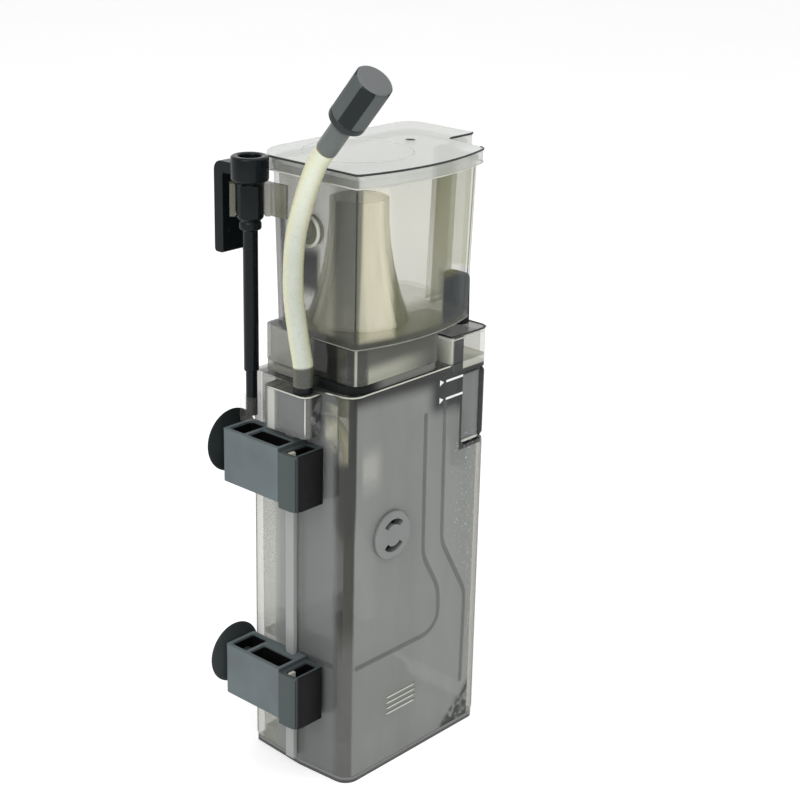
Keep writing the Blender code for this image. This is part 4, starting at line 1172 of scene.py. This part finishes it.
def front_round(grow: float = 0.0) -> tuple[np.ndarray, np.ndarray]:
    """The housing's front-left round, from the front to the left wall.

    Args:
        grow: how far the round stands outside the wall.

    Returns:
        Points (n, 2) on the arc about the round's centre, and their outward normals (n, 2).
    """
    t = np.linspace(0, np.pi / 2, ROUND_STEPS + 1)
    normal = np.column_stack([-np.sin(t), -np.cos(t)])
    return np.array([LEFT + CORNER, FRONT + CORNER]) + normal * (CORNER + grow), normal


def cup_outline(grow: float, tab: float = 0.0) -> np.ndarray:
    """Plan of the cup's wall: a bowed front, a corner left out at the right and a rear lobe.

    The front's bow is 4 * bow * k * (1 - k), with k from 0 at its left end to 1 at its right.

    Args:
        grow: how far the outline stands outside the rim.
        tab: how far the lobe is drawn out for the lid's grip.

    Returns:
        Array (n, 2) that starts at the front-left round.
    """
    bow = 7.0 * MM
    x0, x1 = LEFT + 2.0 * MM - grow, LEFT + 81.0 * MM + grow
    front_y, step, rear = FRONT - grow, FRONT + 25.0 * MM - grow, FRONT + 62.5 * MM + grow
    lobe = LEFT + 99.0 * MM + tab + grow
    k = np.arange(1, CUP_BOW_STEPS) / CUP_BOW_STEPS
    bowed = np.column_stack([x0 + (x1 - x0) * k, front_y - 4 * bow * k * (1 - k), np.zeros(len(k))])
    return rounded([(x0, front_y, 3 * MM), *bowed.tolist(), (x1, front_y, 4.6 * MM + 0.65 * grow),
                    (x1 + 0.5 * tab, step, 2 * MM), (lobe, step, 4 * MM), (lobe, rear, 9 * MM),
                    (x0, rear, 20 * MM)], ROUND_STEPS)


@dataclass
class Housing(SubAssembly):
    """Smoke-clear body with its bonded inner walls, level marks, pale bars of painted light over the
    grille's slots, and wet drops.
    """

    proud: float = 0.08 * MM
    mark_at: float = LEFT + 63.2 * MM
    mark_long: float = 12.0 * MM
    mark_wide: float = 1.1 * MM
    mark_heights: tuple = (187.2 * MM, 178.6 * MM)
    pointer_back: float = 4.4 * MM
    pointer_tip: float = 1.6 * MM
    pointer_half: float = 1.5 * MM
    seam_wide: float = 2.6 * MM
    seam_rise: float = 0.12 * MM
    seam_bend: float = 5.0
    # Corners of the inner walls' front lines, in mm from the left wall and from the foot.
    chamber: tuple = ((49.7, 175.0), (50.2, 103.0), (62.0, 82.5), (62.6, 66.5), (55.5, 60.3), (7.0, 60.3))
    intake: tuple = ((62.8, 178.0), (63.5, 106.0), (81.9, 74.0), (81.0, 24.0))
    # Pale bars of painted light over the grille's slots.
    lit_bars: int = 4
    lit_bar_low: float = 27.5 * MM
    lit_bar_step: float = 2.9 * MM
    lit_bar_ends: tuple = (LEFT + 26.6 * MM, LEFT + 47.2 * MM)
    deck_top: float = 193.8 * MM
    box_corner: tuple = (LEFT - 12.0 * MM, FRONT + 16.4 * MM)
    box_top: float = 193.3 * MM
    post_heights: tuple = (175.0 * MM, 193.0 * MM)
    hood_left: float = LEFT + 66.3 * MM
    hood_top: float = 207.2 * MM
    screen_left: float = LEFT + 75.6 * MM
    screen_inset: float = 1.7 * MM
    screen_round: float = 2.3 * MM
    screen_heights: tuple = (152.6 * MM, 170.0 * MM, 187.9 * MM)
    dial_at: tuple = (LEFT + 27.5 * MM, FRONT + 4.9 * MM, 121.6 * MM)
    drops: int = 520
    seed: int = 7

    def build(self) -> None:
        """Dresses the solids and adds the fine pieces."""
        p = self.palette
        self.dress(p.smoke, "main_housing")
        self.dress(p.lug, "tube_lug")
        self.dress(p.base, "base_plate")
        self.dress(p.hood, "intake_hood")
        self.dress(p.smoke_inner, "reaction_chamber", "intake_partition")
        self.dress(p.dial, "outlet_dial")
        self.dress(p.rail, "bracket_rail")
        self.dress(p.box, "air_box")
        self.dress(p.seal, "neck_seal")
        self.dress(p.gland, "cable_gland")
        self.dress(p.black, "weir_post", "weir_float", "inner_tube", "air_nipple", "dial_clip")
        self.dress(p.pump, "pump_motor", "pump_volute", "pump_outlet", "needle_wheel")
        self.dress(p.ceramic, "rotor_shaft")
        self.dress(p.ferrite, "rotor_magnet")
        self.dress(p.inner_hose, "inner_air_hose")
        self.level_marks()
        self.bonded_seams()
        self.grille_lit_bars()
        self.deck_edges()
        self.hood_edges()
        self.screen()
        self.dial_back()
        self.wet_drops()

    def line(self, name: str, path: np.ndarray, radius: float, finish: bpy.types.Material,
             across: Way = (0.0, 0.0, 1.0)) -> None:
        """Bead on the housing."""
        self.bead(name, path, radius, finish, "housing", Slot.SMOKE, across)

    def level_marks(self) -> None:
        """Two printed lines on the front, each with a small pointer, a hair proud of the wall."""
        half, back, tip = self.mark_wide / 2, self.pointer_back, self.pointer_half
        shape = np.array([[0, -half], [self.mark_long, -half], [self.mark_long, half], [0, half],
                          [-back, tip], [-back, -tip], [-self.pointer_tip, 0]])
        n = len(shape)
        depth = np.full(n, FRONT - self.proud)
        points = np.concatenate([np.column_stack([self.mark_at + shape[:, 0], depth, z + shape[:, 1]])
                                 for z in self.mark_heights])
        faces = [[b + k for k in loop] for b in (0, n) for loop in ((0, 1, 2, 3), (4, 5, 6))]
        piece = make_piece("level_marks", points, faces, self.palette.ink, smooth=False)
        self.settle(piece, "housing", Slot.SMOKE)

    def bonded_seams(self) -> None:
        """Dark lines where the inner walls meet the front: low ridges; one goes on round the corner."""
        lift = 0.05 * MM
        for name, line in (("chamber_seam", self.chamber), ("intake_seam", self.intake)):
            soft = soft_profile(line, self.seam_bend, 6) * MM
            path = np.column_stack([LEFT + soft[:, 0], np.full(len(soft), FRONT - lift), soft[:, 1]])
            normal = np.tile([0.0, -1.0, 0.0], (len(path), 1))
            if name == "chamber_seam":
                z = path[-1, 2]
                arc, turned = front_round(lift)
                first, last = (LEFT - 0.58 * MM, FRONT + 8 * MM), (LEFT - 2.05 * MM, FRONT + 29 * MM)
                side = np.linspace(first, last, 5)
                outward = np.tile([-1.0, 0.0, 0.0], (len(side), 1))
                path = np.vstack([path, at_height(arc[1:], z), at_height(side, z)])
                normal = np.vstack([normal, at_height(turned[1:], 0.0), outward])
            points, faces = ribbon(path, normal, self.seam_wide, self.seam_rise)
            self.settle(make_piece(name, points, faces, self.palette.seam), "housing", Slot.SMOKE)

    def grille_lit_bars(self) -> None:
        """Pale bars over the front grille's slots: painted light for the slots' lit inner edges."""
        y = FRONT + 0.1 * MM
        for k in range(self.lit_bars):
            z = self.lit_bar_low + self.lit_bar_step * k
            ends = np.array([[x, y, z] for x in self.lit_bar_ends])
            self.line(f"grille_lit_bar_{k}", ends, 0.42 * MM, self.palette.bright)

    def deck_edges(self) -> None:
        """Painted highlight lines along the edges of the deck and of the air box."""
        p = self.palette
        arc, _ = front_round()
        deck = np.vstack([[LEFT + 67.0 * MM, FRONT], arc, [LEFT - 0.9 * MM, FRONT + 15.5 * MM]])
        self.line("deck_edge", at_height(deck, self.deck_top), 0.38 * MM, p.bright)
        x0, y0 = self.box_corner
        bend, cut = 3.0 * MM, 0.9 * MM
        box = np.array([[x0, FRONT + 40.0 * MM], [x0, y0 + bend], [x0 + cut, y0 + cut], [x0 + bend, y0],
                        [LEFT - 2.6 * MM, y0]])
        self.line("air_box_top_edge", at_height(box, self.box_top), 0.35 * MM, p.bright)
        inset = 0.7 * MM
        post = upright(x0 + inset, y0 + inset, *self.post_heights)
        self.line("air_box_post_edge", post, 0.32 * MM, p.bright, ALONG_X)

    def hood_edges(self) -> None:
        """Dark top edge and a painted highlight line on the front edge of the hood, and the faint upright
        edges of the housing.
        """
        p, left = self.palette, self.hood_left
        bend, cut, skin = 4.0 * MM, 1.2 * MM, 0.1 * MM
        top = np.array([[left + 0.4 * MM, FRONT + 12 * MM], [left + 0.4 * MM, FRONT + 0.4 * MM],
                        [RIGHT - bend, FRONT + skin], [RIGHT - cut, FRONT + cut],
                        [RIGHT - skin, FRONT + bend], [RIGHT - skin, FRONT + 30 * MM]])
        self.line("hood_top_edge", at_height(top, self.hood_top), 0.5 * MM, p.dark_edge)
        foot = 4.0 * MM
        rear = upright(LEFT + 0.2 * MM, BACK - 0.2 * MM, foot, self.deck_top - 0.3 * MM)
        right = upright(RIGHT - cut, FRONT + 1.1 * MM, foot, 151.5 * MM)
        for name, path in (("rear_edge", rear), ("right_edge", right)):
            self.line(name, path, 0.35 * MM, p.seam, ALONG_X)
        x, low, high = left + 0.3 * MM, 195.0 * MM, self.hood_top - 1.4 * MM
        front = np.array([[x, FRONT, low], [x, FRONT, high], [RIGHT - bend, FRONT, high]])
        self.line("hood_front_edge", front, 0.3 * MM, p.bright, ALONG_Y)

    def screen(self) -> None:
        """Grey screen behind the intake window: a thin wall that follows the corner, a little inside it."""
        p, r = self.palette, self.screen_round
        t = np.linspace(0, np.pi / 2, ROUND_STEPS + 1)
        x1, y0 = RIGHT - self.screen_inset, FRONT + self.screen_inset
        arc = np.column_stack([x1 - r + r * np.sin(t), y0 + r - r * np.cos(t)])
        plan = np.vstack([[self.screen_left, y0], arc, [x1, FRONT + 8.6 * MM]])
        points = np.stack([at_height(plan, z) for z in self.screen_heights])
        faces = grid_faces(len(points), len(plan), wrap=False)
        self.settle(make_piece("intake_screen", points, faces, p.screen), "housing", Slot.SMOKE)
        low, high = self.screen_heights[0], self.screen_heights[-1]
        across = np.array([[self.screen_left + 0.4 * MM, y0 - 0.5 * MM], [x1 - 2.5 * MM, y0 - 0.5 * MM]])
        self.line("screen_foot", at_height(across, low + 0.8 * MM), 0.7 * MM, p.bright)
        self.line("screen_head", at_height(across, high - 0.5 * MM), 0.7 * MM, p.dark_edge)
        side = upright(x1 - 0.6 * MM, y0 + 0.9 * MM, low, high - 0.1 * MM)
        self.line("screen_side", side, 2.1 * MM, p.dark_edge, ALONG_X)

    def dial_back(self) -> None:
        """Black disc behind the dial's ring: painted shade, so that the two ports read as dark openings."""
        shape = soft_profile(((TIP, 0.0), (9.4, 0.0), (9.6, 0.3), (9.4, 0.6), (TIP, 0.6)), 0.1) * MM
        points, faces = revolved(shape, self.dial_at, ALONG_Y, 48)
        self.settle(make_piece("dial_back", points, faces, self.palette.black), "dial", Slot.BLACK)

    def wet_drops(self) -> None:
        """Drops on the intake channel's wall: low domes thrown by a seeded scatter, denser at the right.

        Each dome is x = r sin u cos v, z = r sin u sin v, height = 0.4 r cos u.
        """
        flat = 0.4
        rng = np.random.default_rng(self.seed)
        x = RIGHT - (6.0 + 20.0 * rng.beta(1.5, 2.6, self.drops)) * MM
        z = rng.uniform(26, 158, self.drops) * MM
        # Left limit of the channel against height, both in mm.
        limit = np.interp(z / MM, (24, 74, 106, 160), (83.5, 84.0, 66.5, 65.5)) * MM
        keep = (x - LEFT) > limit
        x, z = x[keep], z[keep]
        n = len(x)
        r = (0.16 + 0.42 * rng.beta(1.0, 4.0, n)) * MM
        u, v = np.linspace(0.02, np.pi / 2, 3), np.linspace(0, 2 * np.pi, 7, endpoint=False)
        uu, vv = np.meshgrid(u, v, indexing="ij")
        dome = np.stack([np.sin(uu) * np.cos(vv), -flat * np.cos(uu), np.sin(uu) * np.sin(vv)], axis=-1)
        dome = dome.reshape(-1, 3)
        centre = np.stack([x, np.full(n, FRONT - 0.03 * MM), z], axis=-1)
        points = centre[:, None, :] + r[:, None, None] * dome[None]
        quads = grid_faces(len(u), len(v))[None] + (np.arange(n) * len(dome))[:, None, None]
        piece = make_piece("wet_drops", points, quads.reshape(-1, 4), self.palette.drops)
        layer = piece.data.attributes.new("tone", "FLOAT", "POINT")
        layer.data.foreach_set("value", np.repeat(np.clip(rng.normal(0.62, 0.4, n), 0, 1), len(dome)))
        self.settle(piece, "housing", Slot.SMOKE)


@dataclass
class Cup(SubAssembly):
    """Collection cup, riser, neck, clip and lid, with their edge lines."""

    lid_top: float = 293.5 * MM
    lid_grow: float = 2.0 * MM
    lid_tab: float = 5.0 * MM
    lid_edge_drop: float = 0.2 * MM
    lid_skirt: float = 6.1 * MM
    foot_inset: float = 1.5 * MM
    floor_z: float = 215.0 * MM
    ring_at: tuple = (LEFT + 36.0 * MM, FRONT + 32.0 * MM)
    ring_radius: float = 24.8 * MM
    drain: tuple = (LEFT - 1.2 * MM, FRONT + 26.0 * MM, 265.0 * MM)
    drain_radius: float = 6.6 * MM
    vent: tuple = (LEFT + 71.4 * MM, FRONT + 32.8 * MM)

    def build(self) -> None:
        """Dresses the clear pieces and adds their fine pieces."""
        p = self.palette
        self.dress(p.cup, "collection_cup")
        self.dress(p.clip, "cup_clip", "drain_boss")
        self.dress(p.riser, "riser_cone")
        self.dress(p.neck, "cup_neck")
        self.dress(p.lid, "cup_lid")
        self.edges()
        self.corner_lines()
        self.rings()
        self.vent_insert()

    def line(self, name: str, path: np.ndarray, radius: float, finish: bpy.types.Material, body: str = "cup",
             across: Way = (0.0, 0.0, 1.0)) -> None:
        """Bead on the cup or on another body."""
        self.bead(name, path, radius, finish, body, Slot.CUP, across)

    def edges(self) -> None:
        """Painted lines: shade round the lid's top and the grip, and highlights round the lid's skirt and
        the cup's foot.
        """
        p = self.palette
        lid, low = cup_outline(self.lid_grow, self.lid_tab), cup_outline(-self.foot_inset)
        corner = CUP_BOW_STEPS + 2 * ROUND_STEPS + 1
        edge = np.vstack([[lid[0, 0], BACK - 9 * MM], lid[:corner]])
        top, skirt = self.lid_top - self.lid_edge_drop, self.lid_top - self.lid_skirt
        self.line("lid_dark_edge", at_height(edge, top), 0.5 * MM, p.dark_edge, "lid")
        self.line("lid_skirt_edge", at_height(edge, skirt), 0.3 * MM, p.bright, "lid")
        lobe = lid[corner + ROUND_STEPS:corner + 2 * ROUND_STEPS]
        self.line("lid_lobe_edge", at_height(lobe, top), 0.55 * MM, p.dark_edge, "lid")
        foot = np.vstack([[low[0, 0], BACK - 20 * MM], low[:corner]])
        self.line("cup_foot_edge", at_height(foot, self.floor_z + 0.3 * MM), 0.28 * MM, p.foot_edge)

    def corner_lines(self) -> None:
        """Upright lines at the cup's front corners; they lean with the wall's taper."""
        p = self.palette
        low, high = self.floor_z + 2.0 * MM, self.lid_top - 7.5 * MM
        post = np.array([[LEFT + 4.2 * MM, FRONT + 2.2 * MM, low],
                         [LEFT + 2.8 * MM, FRONT + 0.8 * MM, high]])
        self.line("cup_corner_line", post, 0.4 * MM, p.dark_edge, across=ALONG_X)
        low, high = self.floor_z + 1.0 * MM, self.lid_top - 7.0 * MM
        side = np.array([[LEFT + 78.1 * MM, FRONT + 2.8 * MM, low],
                         [LEFT + 79.6 * MM, FRONT + 1.3 * MM, high]])
        self.line("cup_right_line", side, 0.3 * MM, p.seam, across=ALONG_X)

    def rings(self) -> None:
        """Round line on the lid and the drain's pale rim."""
        p = self.palette
        t = np.linspace(0, 2 * np.pi, 97)
        circle = np.column_stack([np.cos(t), np.sin(t)])
        ring = np.array(self.ring_at) + self.ring_radius * circle
        self.line("lid_ring", at_height(ring, self.lid_top), 0.2 * MM, p.lid, "lid")
        rim = np.column_stack([np.full(len(t), self.drain[0]), self.drain[1:] + self.drain_radius * circle])
        self.line("drain_rim", rim, 0.8 * MM, p.bright, across=ALONG_X)

    def vent_insert(self) -> None:
        """Dark insert in the lid's vent: a turned dish."""
        shape = soft_profile(((TIP, -0.9), (2.3, -0.9), (2.3, -0.2), (1.9, -0.2), (1.7, -0.6),
                              (TIP, -0.7)), 0.15)
        points, faces = revolved(shape * MM, (*self.vent, self.lid_top), (0, 0, 1), 40)
        self.settle(make_piece("vent_insert", points, faces, self.palette.dark_edge), "lid", Slot.CUP)


@dataclass
class Hanger(SubAssembly):
    """Telescopic tube, socket with its flat panel, collar and hook."""

    x: float = LEFT - 7.0 * MM
    y: float = FRONT + 55.6 * MM
    bore: float = 2.9
    panel_turn: float = np.radians(-46.0)
    panel_out: float = 5.2 * MM
    panel_z: float = 274.2 * MM

    def build(self) -> None:
        """Dresses the hook and adds the tube and the panel."""
        self.dress(self.palette.black, "hanger_hook")
        self.body()
        self.panel()

    def body(self) -> None:
        """Tube, socket and collar turned as one open profile of (radius, height) in mm, with soft edges."""
        tube_r, neck_r, socket_r, collar_r = 3.4, 5.0, 6.0, 8.4
        corners = ((self.bore, 196.0), (tube_r, 196.0), (tube_r, 261.0), (neck_r, 261.4), (neck_r, 264.3),
                   (4.5, 265.0), (socket_r, 266.6), (socket_r, 281.8), (collar_r, 283.4), (collar_r, 293.4),
                   (7.4, 294.0), (5.2, 293.8), (neck_r, 277.0), (self.bore, 276.0))
        points, faces = revolved(soft_profile(corners, 0.7) * MM, (self.x, self.y, 0.0), (0, 0, 1), 56)
        piece = make_piece("hanger_body", points, faces[:-2], self.palette.black)
        piece.data.set_sharp_from_angle(angle=SHARP)
        self.settle(piece, "cup", Slot.BLACK)
        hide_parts("hanger_tube")

    def panel(self) -> None:
        """Flat panel on the socket: a plate turned about the tube's axis."""
        flat, loops = slab(8.0 * MM, 14.6 * MM, 1.0 * MM, 0.8 * MM, 0.35 * MM)
        c, s = np.cos(self.panel_turn), np.sin(self.panel_turn)
        place = np.array([self.x, self.y]) + np.array([s, -c]) * self.panel_out
        xy = np.column_stack([c * flat[:, 0] - s * flat[:, 1], s * flat[:, 0] + c * flat[:, 1]]) + place
        points = np.column_stack([xy, flat[:, 2] + self.panel_z])
        piece = make_piece("socket_panel", points, loops, self.palette.black)
        piece.data.set_sharp_from_angle(angle=SHARP)
        self.settle(piece, "cup", Slot.BLACK)


@dataclass
class Clamps(SubAssembly):
    """Two brackets on the rail and their suction cups."""

    bases: dict = field(default_factory=lambda: {"upper": 145.0 * MM, "lower": 35.7 * MM})
    tall: float = 25.5 * MM
    pad_rise: float = 16.0 * MM
    tongue_drop: float = 9.2 * MM
    # Suction cup in mm, from the stem's end to the lip: radius and height.
    pad_corners: tuple = ((0.0, -7.0), (4.6, -7.0), (5.0, -2.3), (3.0, -2.2), (3.0, 0.3), (5.2, 0.4),
                          (7.0, 1.4), (11.0, 2.9), (15.0, 4.3), (15.0, 5.0), (12.8, 5.0), (6.0, 3.3),
                          (0.0, 2.8))

    def build(self) -> None:
        """Dresses each bracket, then adds its suction cup and its tongue."""
        p = self.palette
        for key, rubber in (("upper", p.rubber), ("lower", p.pad)):
            self.dress(p.grey, key + "_bracket")
            self.glass_pad(key, rubber)
            self.tongue(key)

    def glass_pad(self, key: str, rubber: bpy.types.Material) -> None:
        """Suction cup: a turned piece about Y.

        Args:
            key: name of the bracket.
            rubber: finish of the cup.
        """
        profile = np.maximum(soft_profile(self.pad_corners, 1.2) * MM, (TIP * MM, -1.0))
        base = (LEFT - 11.0 * MM, BACK - 1.0 * MM, self.bases[key] + self.pad_rise)
        points, faces = revolved(profile, base, ALONG_Y, 64)
        piece = make_piece(key + "_glass_pad", points, faces, rubber)
        piece.data.set_sharp_from_angle(angle=SHARP)
        self.settle(piece, key + "_pad", Slot.RUBBER)
        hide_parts(key + "_suction_cup")

    def tongue(self, key: str) -> None:
        """Clear tongue of the rail that shows in a bracket's block."""
        flat, loops = slab(4.4 * MM, 14.0 * MM, 1.4 * MM, 1.0 * MM, 0.4 * MM)
        top = self.bases[key] + self.tall
        place = np.array([LEFT - 15.8 * MM, FRONT + 21.6 * MM, top - self.tongue_drop])
        piece = make_piece(key + "_tongue", flat + place, loops, self.palette.bright)
        self.settle(piece, key + "_clamp", Slot.CUP)


@dataclass
class AirLine(SubAssembly):
    """Free air hose from the nipple to the valve, with the connector and knob on its end."""

    foot: Way = (-53.5 * MM, -7.8 * MM, 197.0 * MM)
    lean: float = 0.0245
    diameter: float = 9.0 * MM
    # Offsets along Y and rises from the foot, in mm.
    steps: tuple = ((0.0, 0.0), (-0.2, 9.0), (2.5, 23.0), (5.0, 42.0), (3.4, 64.5), (-2.7, 84.0),
                    (-9.9, 99.6), (-15.6, 107.0))
    sides: int = 28
    count: int = 96
    coarse: int = 21
    sleeve: float = 9.2 * MM
    sleeve_fade: float = 0.8 * MM
    collar_at: float = 81.0 * MM
    collar_wide: float = 0.7 * MM
    collar_swell: float = 0.05
    seam: float = 0.3 * MM
    connector_long: float = 17.0
    knob_long: float = 25.0
    knob_collar: float = 3.6 * MM
    knob_flat: float = 8.2 * MM
    knob_flats: int = 8
    knob_phase: float = 0.21

    def route(self, count: int) -> np.ndarray:
        """The hose's route: a smooth line through its knots, which lean out as they rise.

        Args:
            count: number of steps along it.

        Returns:
            Array (count + 1, 3).
        """
        y, z = (np.array(self.steps) * MM).T
        knots = np.stack([self.foot[0] - self.lean * z, self.foot[1] + y, self.foot[2] + z], axis=-1)
        return smooth_line(knots, count)

    def build(self) -> None:
        path = self.route(self.count)
        run = np.concatenate([[0.0], np.cumsum(np.linalg.norm(np.diff(path, axis=0), axis=1))])
        hose = self.hose(path, run)
        end = self.route(self.coarse)
        way = (end[-1] - end[-2]) / np.linalg.norm(end[-1] - end[-2])
        start = path[-1] + way * self.seam
        connector = self.connector(start, way)
        knob = self.knob(start + way * (self.connector_long * MM + self.seam), way)

    def hose(self, path: np.ndarray, run: np.ndarray) -> bpy.types.Object:
        """Milky hose: a tube with a slight swell, and a value that marks where the barb sits inside.

        The swell is exp(-(distance / width) squared) along the hose.

        Args:
            path: array (n, 3) along the hose.
            run: array (n,), the length up to each point.

        Returns:
            The piece.
        """
        swell = np.exp(-((run - self.collar_at) / self.collar_wide) ** 2)
        radius = self.diameter / 2 * (1 + self.collar_swell * swell)
        across = np.array([1.0, 0.0, self.lean])
        points, faces = tube(path, radius, self.sides, across / np.linalg.norm(across))
        piece = make_piece("milky_air_hose", points, faces, self.palette.silicone)
        piece.data.set_sharp_from_angle(angle=SHARP)
        layer = piece.data.attributes.new("barb", "FLOAT", "POINT")
        inside = np.clip((self.sleeve - run) / self.sleeve_fade, 0, 1) * 0.9
        layer.data.foreach_set("value", np.repeat(inside, self.sides))
        self.settle(piece, "housing", Slot.SILICONE)
        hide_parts("air_hose")
        return piece

    def connector(self, start: np.ndarray, way: np.ndarray) -> bpy.types.Object:
        """Grey connector: a turned sleeve with a thin neck.

        Args:
            start: middle of its lower end.
            way: unit vector along it.

        Returns:
            The piece.
        """
        wide, thin, top = 4.7, 3.1, self.connector_long
        shape = soft_profile(((TIP, 0.0), (4.2, 0.0), (wide, 0.6), (wide, 14.2), (4.3, 14.9), (thin, 15.0),
                              (thin, top), (TIP, top)), 0.4)
        points, faces = revolved(shape * MM, tuple(start), tuple(way), 48)
        piece = make_piece("hose_connector", points, faces, self.palette.connector)
        piece.data.set_sharp_from_angle(angle=0.7)
        self.settle(piece, "housing", Slot.GREY)
        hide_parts("valve_connector")
        return piece

    def knob(self, base: np.ndarray, way: np.ndarray) -> bpy.types.Object:
        """Valve knob: a turned body with a plain collar and eight soft flats above it.

        The radius is the smaller of the round body and flat / cos(angle from the middle of the flat).

        Args:
            base: middle of the knob's lower end.
            way: unit vector along the knob.

        Returns:
            The piece.
        """
        # A metre stands for no limit on the collar's radius.
        seg, long, no_limit = 96, self.knob_long, 1.0
        profile = soft_profile(((TIP, 0.0), (7.4, 0.0), (8.3, 0.8), (8.3, 3.2), (7.9, 3.5), (8.6, 4.1),
                                (8.75, 23.4), (8.2, 24.5), (7.2, long), (3.6, long), (TIP, long)), 0.4) * MM
        points, faces = revolved(profile, tuple(base), tuple(way), seg)
        pitch = 2 * np.pi / self.knob_flats
        t = np.linspace(0, 2 * np.pi, seg, endpoint=False) + self.knob_phase
        near = (t + pitch / 2) % pitch - pitch / 2
        limit = np.where(profile[:, 1:] > self.knob_collar, self.knob_flat / np.cos(near)[None, :], no_limit)
        scale = np.minimum(1.0, limit / profile[:, :1])
        middle = base + profile[:, 1:] * way
        round_body = points.reshape(len(profile), seg, 3) - middle[:, None]
        points = middle[:, None] + round_body * scale[..., None]
        top = (float(base @ way) + profile[-1, 1]) / MM
        # Painted light on the knob's end.
        cap = Zone(KNOB_CAP, 1.0, (slanted(tuple(way), top - 0.5, top - 0.2),))
        piece = make_piece("valve_grip", points, faces, replace(KNOB, zones=(cap,)).build())
        piece.data.set_sharp_from_angle(angle=0.35)
        # Painted shade on every second flat and on most of the collar.
        layer = piece.data.attributes.new("flat_shade", "FLOAT", "FACE")
        layer.data.foreach_set("value", np.append(self.shaded_flats(profile, t).ravel(), [0.0, 0.0]))
        self.settle(piece, "valve", Slot.GREY)
        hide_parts("air_valve_knob")
        return piece

    def shaded_flats(self, profile: np.ndarray, t: np.ndarray) -> np.ndarray:
        """How much painted shade each face of the knob's side takes: every second flat, and most of the
        collar.

        Args:
            profile: array (n, 2) of radius and height.
            t: array (m,), angle of each point round the knob.

        Returns:
            Array (n - 1, m) from 0 to 1; faces with a smaller radius than the side's stay at 0.
        """
        pitch = 2 * np.pi / self.knob_flats
        collar_shade, side_radius = 0.75, 7.9 * MM
        second = np.floor((t + pitch / 2) / pitch).astype(int) % 2
        dark = second[None, :] * (profile[:-1, 1:] > self.knob_collar)
        dark = np.where(profile[1:, 1:] < self.knob_collar, collar_shade, dark)
        return (dark * (profile[:-1, :1] > side_radius)).astype(float)


def main() -> None:
    """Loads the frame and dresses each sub-assembly in order."""
    logging.basicConfig(level=logging.INFO, format="%(name)s: %(message)s")
    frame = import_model()
    palette = Palette()
    Stage().build()
    for group in (AirLine, Housing, Cup, Hanger, Clamps):
        group(frame["nodes"], palette).build()


if __name__ == "__main__":
    main()
